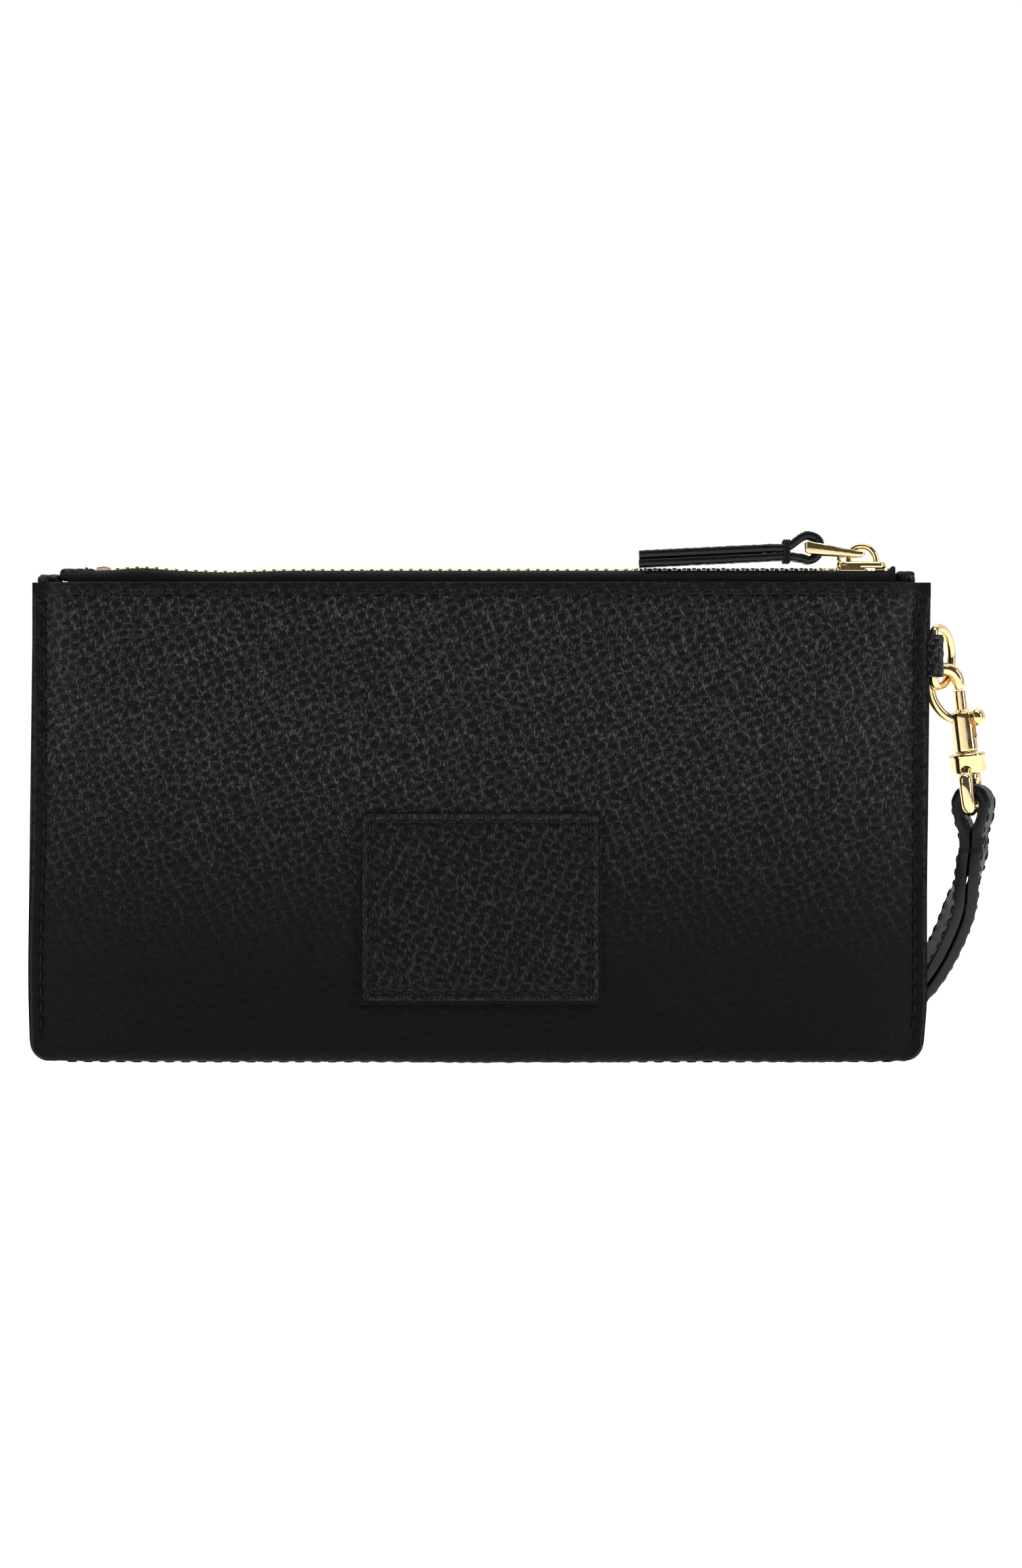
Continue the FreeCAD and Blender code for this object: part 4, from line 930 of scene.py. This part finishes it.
# ---- D-ring, snap and strap ----
def turned(x, y, z, degrees, tilt=0.0):
    return (Matrix.Translation((x, y, z)) @ Matrix.Rotation(math.radians(degrees), 4, "Z")
            @ Matrix.Rotation(math.radians(-tilt), 4, "Y"))


def moved(matrix, points):
    m = np.array(matrix)
    return np.asarray(points) @ m[:3, :3].T + m[:3, 3]


SNAP = turned(117.633, 5.801, 71.582, 10.0, 7.0)
EYE = SNAP @ Matrix.Rotation(math.radians(-23.0), 4, "Z")
STRAP = turned(118.965, 6.035, 0.0, -13.0)


def ring_tab():
    """The leather tab that holds the D-ring's bar: a strip folded round it."""
    turn = np.linspace(-2.35, 2.35, 26)
    outer = np.array([(109.0 + 2.4 * math.cos(a), 2.4 * math.sin(a)) for a in turn]
                     + [(106.4, 1.5), (106.4, 0.5), (106.4, -0.5), (106.4, -1.5)])
    around = np.linspace(-2.35, 3.6, 30)
    hole = np.array([(109.0 + 1.0 * math.cos(a), 1.0 * math.sin(a)) for a in around])
    low, top = 92.3, 102.5
    levels = [(0.35, low), (0.1, low + 0.1), (0.0, low + 0.35)]
    levels += [(0.0, z) for z in np.linspace(low + 0.8, top - 0.8, 24)]
    levels += [(0.0, top - 0.35), (0.1, top - 0.1), (0.35, top)]
    rings, marks = [], []
    for inset, z in levels:
        line = inset_outline(outer, inset)
        pebble = grain(np.arange(len(outer)) * 0.42, np.full(len(outer), z), 61, 2.1)
        out = inset_outline(line, -0.14) - line
        line = line + out * (pebble - 0.6)[:, None] * 1.1
        rings.append(np.column_stack([line, np.full(len(line), z)]))
        marks.append(pebble)
    for z in (top, low):
        rings.append(np.column_stack([hole, np.full(len(hole), z)]))
        marks.append(np.full(len(hole), 0.6))
    points = np.concatenate(rings)
    faces = quads(len(rings), len(outer), wrap_rows=True, wrap_cols=True)
    make("ring_tab_leather", points, faces, "pouch", "outer_leather", LEATHER, ["d_ring_tab"],
         np.concatenate(marks))


def ring():
    """D-ring: a straight bar in the tab and a wide bow."""
    bow = [(x, 0, z) for x, z in arc(RING_BOW[0], 0, RING_BOW[1], range(-90, 91, 15))]
    bar = [(1.1, 0, 6.75), (0.2, 0, 5.8), (0, 0, 4.6), (0, 0, 2.3), (0, 0, 0), (0, 0, -2.3), (0, 0, -4.6),
           (0.2, 0, -5.8), (1.1, 0, -6.75)]
    path = curve(bow + bar + bow[:1], 140)[:-1]
    points, faces = tube(path, RING_WIRE, 20, closed=True)
    make("d_ring_wire", moved(turned(109, 0, 97.1, 60), points), faces, "ring", "snap_metal", GOLD,
         ["d_ring"])


def lathe(profile, around=48):
    """Rings of a turned shape from (radius, height) pairs, its axis along Z."""
    turn = np.linspace(0, 2 * math.pi, around, endpoint=False)
    return capped([np.stack([r * np.cos(turn), r * np.sin(turn), np.full(around, h)], 1)
                   for r, h in profile])


def carve(piece, points, faces):
    """Cuts a closed shape out of a piece."""
    mesh = bpy.data.meshes.new("cutter")
    mesh.from_pydata((np.asarray(points) * MM).tolist(), [], faces)
    cutter = placed("cutter", mesh)
    cut = piece.modifiers.new("cut", "BOOLEAN")
    cut.object, cut.operation, cut.solver = cutter, "DIFFERENCE", "EXACT"
    bpy.context.view_layer.update()
    result = bpy.data.meshes.new_from_object(piece.evaluated_get(bpy.context.evaluated_depsgraph_get()))
    piece.modifiers.clear()
    piece.data = result
    bpy.data.objects.remove(cutter)
    for polygon in result.polygons:
        polygon.use_smooth = polygon.area < 1.2e-6


def snap():
    """Barrel with its thumb slot and a claw that swells over the ring."""
    wall = [(2.9, h) for h in np.linspace(3.6, 11.7, 14)]
    points, faces = lathe([(0.4, 2.7), (2.3, 2.7), (2.7, 2.85), (2.9, 3.2)] + wall + [
        (2.84, 12.1), (2.62, 12.45), (2.2, 12.62), (1.75, 12.7), (1.7, 13.1), (0.5, 13.2)])
    body = make("snap_barrel", moved(SNAP, points), faces, "snap", "snap_metal", GOLD)
    slot_points, slot_faces = rounded_box((1.5, -0.85, 6.05), (4.5, 0.85, 11.75), 0.6, 0.5)
    turn = Matrix.Rotation(math.radians(-35.0), 4, "Z")
    carve(body, moved(SNAP @ turn, slot_points), slot_faces)
    bend = [(x, 0, z) for x, z in arc(-CLAW[0], CLAW[1], CLAW[0], range(0, 181, 15))]
    back = [(-7.15, 0, 17.8), (-6.7, 0, 15.9), (-5.7, 0, 13.9), (-4.2, 0, 12.1), (-2.3, 0, 10.9)]
    path = curve([(0, 0, 17.95), (0, 0, 18.8)] + bend + back, 80)
    at = np.linspace(0, 1, len(path))
    thick = np.interp(at, [0, 0.03, 0.12, 0.35, 0.6, 0.85, 1.0], [1.15, 1.42, 1.6, 1.62, 1.4, 1.2, 1.1])
    points, faces = tube(path, thick, 24)
    make("snap_claw", moved(SNAP, points), faces, "snap", "snap_metal", GOLD, ["hook_body"])
    points, faces = lathe([(0.7, 1.2), (0.7, 3.0), (1.2, 3.05), (1.85, 3.2), (2.1, 3.5), (2.18, 3.9),
                           (2.1, 4.5), (1.75, 5.1), (1.1, 5.5), (0.4, 5.65), (0.1, 5.67)])
    lay = SNAP @ Matrix.Translation((0, 0, 10.9)) @ turn @ Matrix.Rotation(math.radians(90), 4, "Y")
    make("snap_knob", moved(lay, points), faces, "snap_bolt", "snap_metal", GOLD, ["thumb_knob"])


def swivel():
    """Turned collar with a stirrup eye for the strap."""
    collar = lathe([(1.6, 2.62), (3.4, 2.62), (4.1, 2.5), (4.42, 2.2), (4.48, 1.8), (4.36, 1.45),
                    (4.25, 1.2), (4.25, -1.7), (4.1, -2.2), (3.6, -2.55), (1.6, -2.62)])
    half = [(0, 2.6, -0.9), (0, 4.6, -2.1), (0, 6.4, -3.2), (0, 7.0, -4.6), (0, 7.0, -8.2),
            (0, 6.6, -10.2), (0, 5.0, -11.1), (0, 2.5, -11.1)]
    path = curve(half + [(0, 0, -11.1)] + [(0, -y, z) for _, y, z in half[::-1]], 120)
    thick = 1.38 + 0.27 * smooth((np.abs(path[:, 1]) - 5.6) / 1.2)
    points, faces = joined([collar, tube(path, thick, 24)])
    make("swivel_collar_eye", moved(EYE, points), faces, "swivel", "snap_metal", GOLD, ["swivel_eye"])


def strap():
    """A folded strap: round the swivel's eye, down beside the pouch and along the surface behind it."""
    clear, end = 0.05, -115.0      # above the surface; where the fold begins
    offset = STRAP_PLY + STRAP_SLIT
    lying = clear + STRAP_PLY + offset
    fall = curve([(0.0, 51.0), (-1.7, 43.0), (-5.3, 31.5), (-11.4, 20.6), (-20.5, 11.6), (-32.0, 5.4),
                  (-46.0, lying)], 90)
    rest = np.column_stack([np.linspace(-46.0, end, 100)[1:], np.full(99, lying)])
    centre = np.concatenate([fall, rest])
    normal = left_of(centre)
    lower, upper = centre + normal * offset, centre - normal * offset
    bulb = 2.1
    upper[:, 1] += 2 * (bulb - offset) * smooth((end + 22.0 - upper[:, 0]) / 22.0)
    bulb_z = clear + STRAP_PLY + bulb
    fold = np.array([(end - bulb * math.cos(math.radians(a)), bulb_z + bulb * math.sin(math.radians(a)))
                     for a in range(-75, 76, 10)])
    over = arc(0.0, STRAP_LOOP[1], STRAP_LOOP[0], range(180, -1, -20))
    loop = curve([upper[0], (-1.62, 55.2), (-2.7, 58.6)] + over + [(2.7, 58.6), (1.62, 55.2), lower[0]], 110)
    path = np.concatenate([loop[:-1], lower, fold, upper[:0:-1]])

    def bumps(run, y):
        line = np.minimum(np.abs(y - 3.7), np.abs(y + 3.7))
        return -0.14 * math.exp(-(line / 0.5) ** 2) * (0.6 + 0.4 * np.cos(2 * math.pi * run / 3.0))

    def twisted(points):
        """A slight twist of the hanging part about its own middle line turns its upper face to the front."""
        flat = points[:, [0, 2]]
        near = np.argmin(np.abs(flat[:, None] - fall[None]).sum(2), axis=1)
        middle, side = fall[near], left_of(fall)[near]
        share = smooth((49.0 - middle[:, 1]) / 14.0) * smooth((middle[:, 1] - 8.0) / 10.0)
        angle = STRAP_TWIST * share * (points[:, 2] < 51.0) * (points[:, 0] > -46.0)
        out = ((flat - middle) * side).sum(1)
        change = out * np.cos(angle) - points[:, 1] * np.sin(angle) - out
        flat = flat + change[:, None] * side
        return np.column_stack([flat[:, 0], out * np.sin(angle) + points[:, 1] * np.cos(angle),
                                flat[:, 1]])

    points, faces, marks, which = ribbon(path, STRAP_PLY - 0.02, STRAP_HALF, 71, 0.5, 0.5, closed=True,
                                         bumps=bumps)
    make("wrist_strap", moved(STRAP, twisted(points)), faces, "strap", "strap_leather",
         [STRAP_LEATHER, STRAP_EDGE], ["strap_outer_ply", "strap_inner_ply"], marks, which)

    # Stitches along both edges of the outer face.
    run = lengths(path)
    across = left_of(path, closed=True)
    starts, ends, ups = [], [], []
    for y in (-3.9, 3.9):
        for a in np.arange(2.0, run[-1] - 3.0, 3.05):
            for r, places in ((a, starts), (a + 2.2, ends)):
                k = int(np.searchsorted(run, r))
                x, z = path[k] + across[k] * STRAP_PLY
                places.append((x, y, z))
            ups.append((across[k, 0], 0.0, across[k, 1]))
    points, faces = threads(starts, ends, ups, 0.22, 0.16, 0.3)
    make("strap_stitches", moved(STRAP, twisted(points)), faces, "strap", "thread", THREAD)
    turns = [[(x, y, z) for x, y in squared(2.95, 4.95)] for z in (50.3, 50.8, 51.3)]
    loops = [tube(turn, 0.13, 8, closed=True) for turn in turns]
    tail = curve([(3.4, -4.6, 51.3), (3.75, -5.0, 52.6), (3.4, -5.1, 53.8), (3.6, -4.9, 54.3)], 12)
    loops.append(tube(tail, 0.2, 8))
    points, faces = joined(loops)
    make("strap_thread", moved(STRAP, points), faces, "strap", "thread", THREAD, ["strap_bartack"])


# ---- materials of the carried-over nodes ----
FINISH = {
    "stiffener_board": BOARD, "lining_fabric": LINING, "snap_metal": GOLD, "slider_metal": GOLD,
    "zip_metal": TEETH_GOLD, "spring_steel": STEEL, "outer_leather": LEATHER,
    "strap_leather": STRAP_LEATHER, "zip_tape": TAPE, "thread": THREAD,
}


def finish_nodes():
    slots = {part["node"]: part["material_slot"] for part in frame["record"]["subparts"]}
    for name, node in frame["nodes"].items():
        look = FINISH[slots[name]]
        if not node.material_slots:
            node.data.materials.append(look)
        for place in node.material_slots:
            place.material = look


# ---- floor, lights and camera ----
def stage():
    white = Look("backdrop_white", Roughness=0.9, Emission_Color=(1, 1, 1, 1), Emission_Strength=0.97)
    white.colour(white.noise((90, 90, 90), 1.0), (0.93, 0.93, 0.93), (0.95, 0.95, 0.95))
    reach = np.concatenate([np.linspace(0, 900, 10), [1500, 3000, 8000]])
    around = np.linspace(0, 2 * math.pi, 48, endpoint=False)
    points = np.array([(r * math.cos(a), r * math.sin(a), 0.0) for r in reach[1:] for a in around])
    mesh = bpy.data.meshes.new("backdrop")
    rings = quads(len(reach) - 1, len(around), wrap_cols=True).tolist()
    mesh.from_pydata((points * MM).tolist(), [], rings + [list(range(len(around)))[::-1]])
    mesh.materials.append(white.material)
    mesh.polygons.foreach_set("use_smooth", np.ones(len(mesh.polygons), bool))
    placed("backdrop", mesh)

    def panel_light(name, place, target, size, power):
        light = bpy.data.lights.new(name, "AREA")
        light.shape, light.size, light.size_y = "RECTANGLE", size[0] * MM, size[1] * MM
        light.energy = power
        obj = placed(name, light)
        obj.location = Vector(place) * MM
        obj.rotation_euler = (Vector(target) * MM - obj.location).to_track_quat("-Z", "Y").to_euler()

    panel_light("overhead", (0, 260, 900), (0, 160, 0), (1500, 800), 3.0)
    panel_light("key", (-20, -66, 470), (0, -12, 100), (760, 70), 1.2)
    panel_light("left_side", (-620, -320, 330), (0, 0, 60), (120, 420), 0.7)
    panel_light("right_side", (720, -240, 300), (110, 0, 80), (120, 420), 1.2)

    # The room is white behind the pouch and dim in front of it, where it would only veil the leather.
    world = bpy.data.worlds.new("room")
    world.use_nodes = True
    tree = world.node_tree
    tree.nodes["Background"].inputs[0].default_value = (1, 1, 1, 1)
    way = tree.nodes.new("ShaderNodeSeparateXYZ")
    tree.links.new(tree.nodes.new("ShaderNodeTexCoord").outputs["Generated"], way.inputs[0])
    dim = tree.nodes.new("ShaderNodeMapRange")
    for key, value in (("From Min", -0.15), ("From Max", 0.35), ("To Min", 0.10), ("To Max", 1.08)):
        dim.inputs[key].default_value = value
    tree.links.new(way.outputs["Y"], dim.inputs["Value"])
    tree.links.new(dim.outputs[0], tree.nodes["Background"].inputs[1])
    bpy.context.scene.world = world
    bpy.context.scene.view_settings.view_transform = "Standard"

    distance = 1600.0
    view_height = 376.0
    camera = bpy.data.cameras.new("camera")
    camera.sensor_width = 36.0
    camera.lens = camera.sensor_width * distance / view_height
    camera.clip_start, camera.clip_end = 0.05, 20.0
    obj = placed("camera", camera)
    obj.location = Vector((7.58, -distance, 66.7)) * MM
    obj.rotation_euler = (math.radians(90), 0, 0)
    bpy.context.scene.camera = obj


finish_nodes()
panel(-1, 0.55)
panel(1, 0.66)
for face in (-1, 1):
    seam_threads(face)
    side_edge(face)
    tape(face)
    teeth(face)
patch()
base_strip()
zip_ends()
slider()
pull_tab()
pull_strip()
ring_tab()
ring()
snap()
swivel()
strap()
stage()
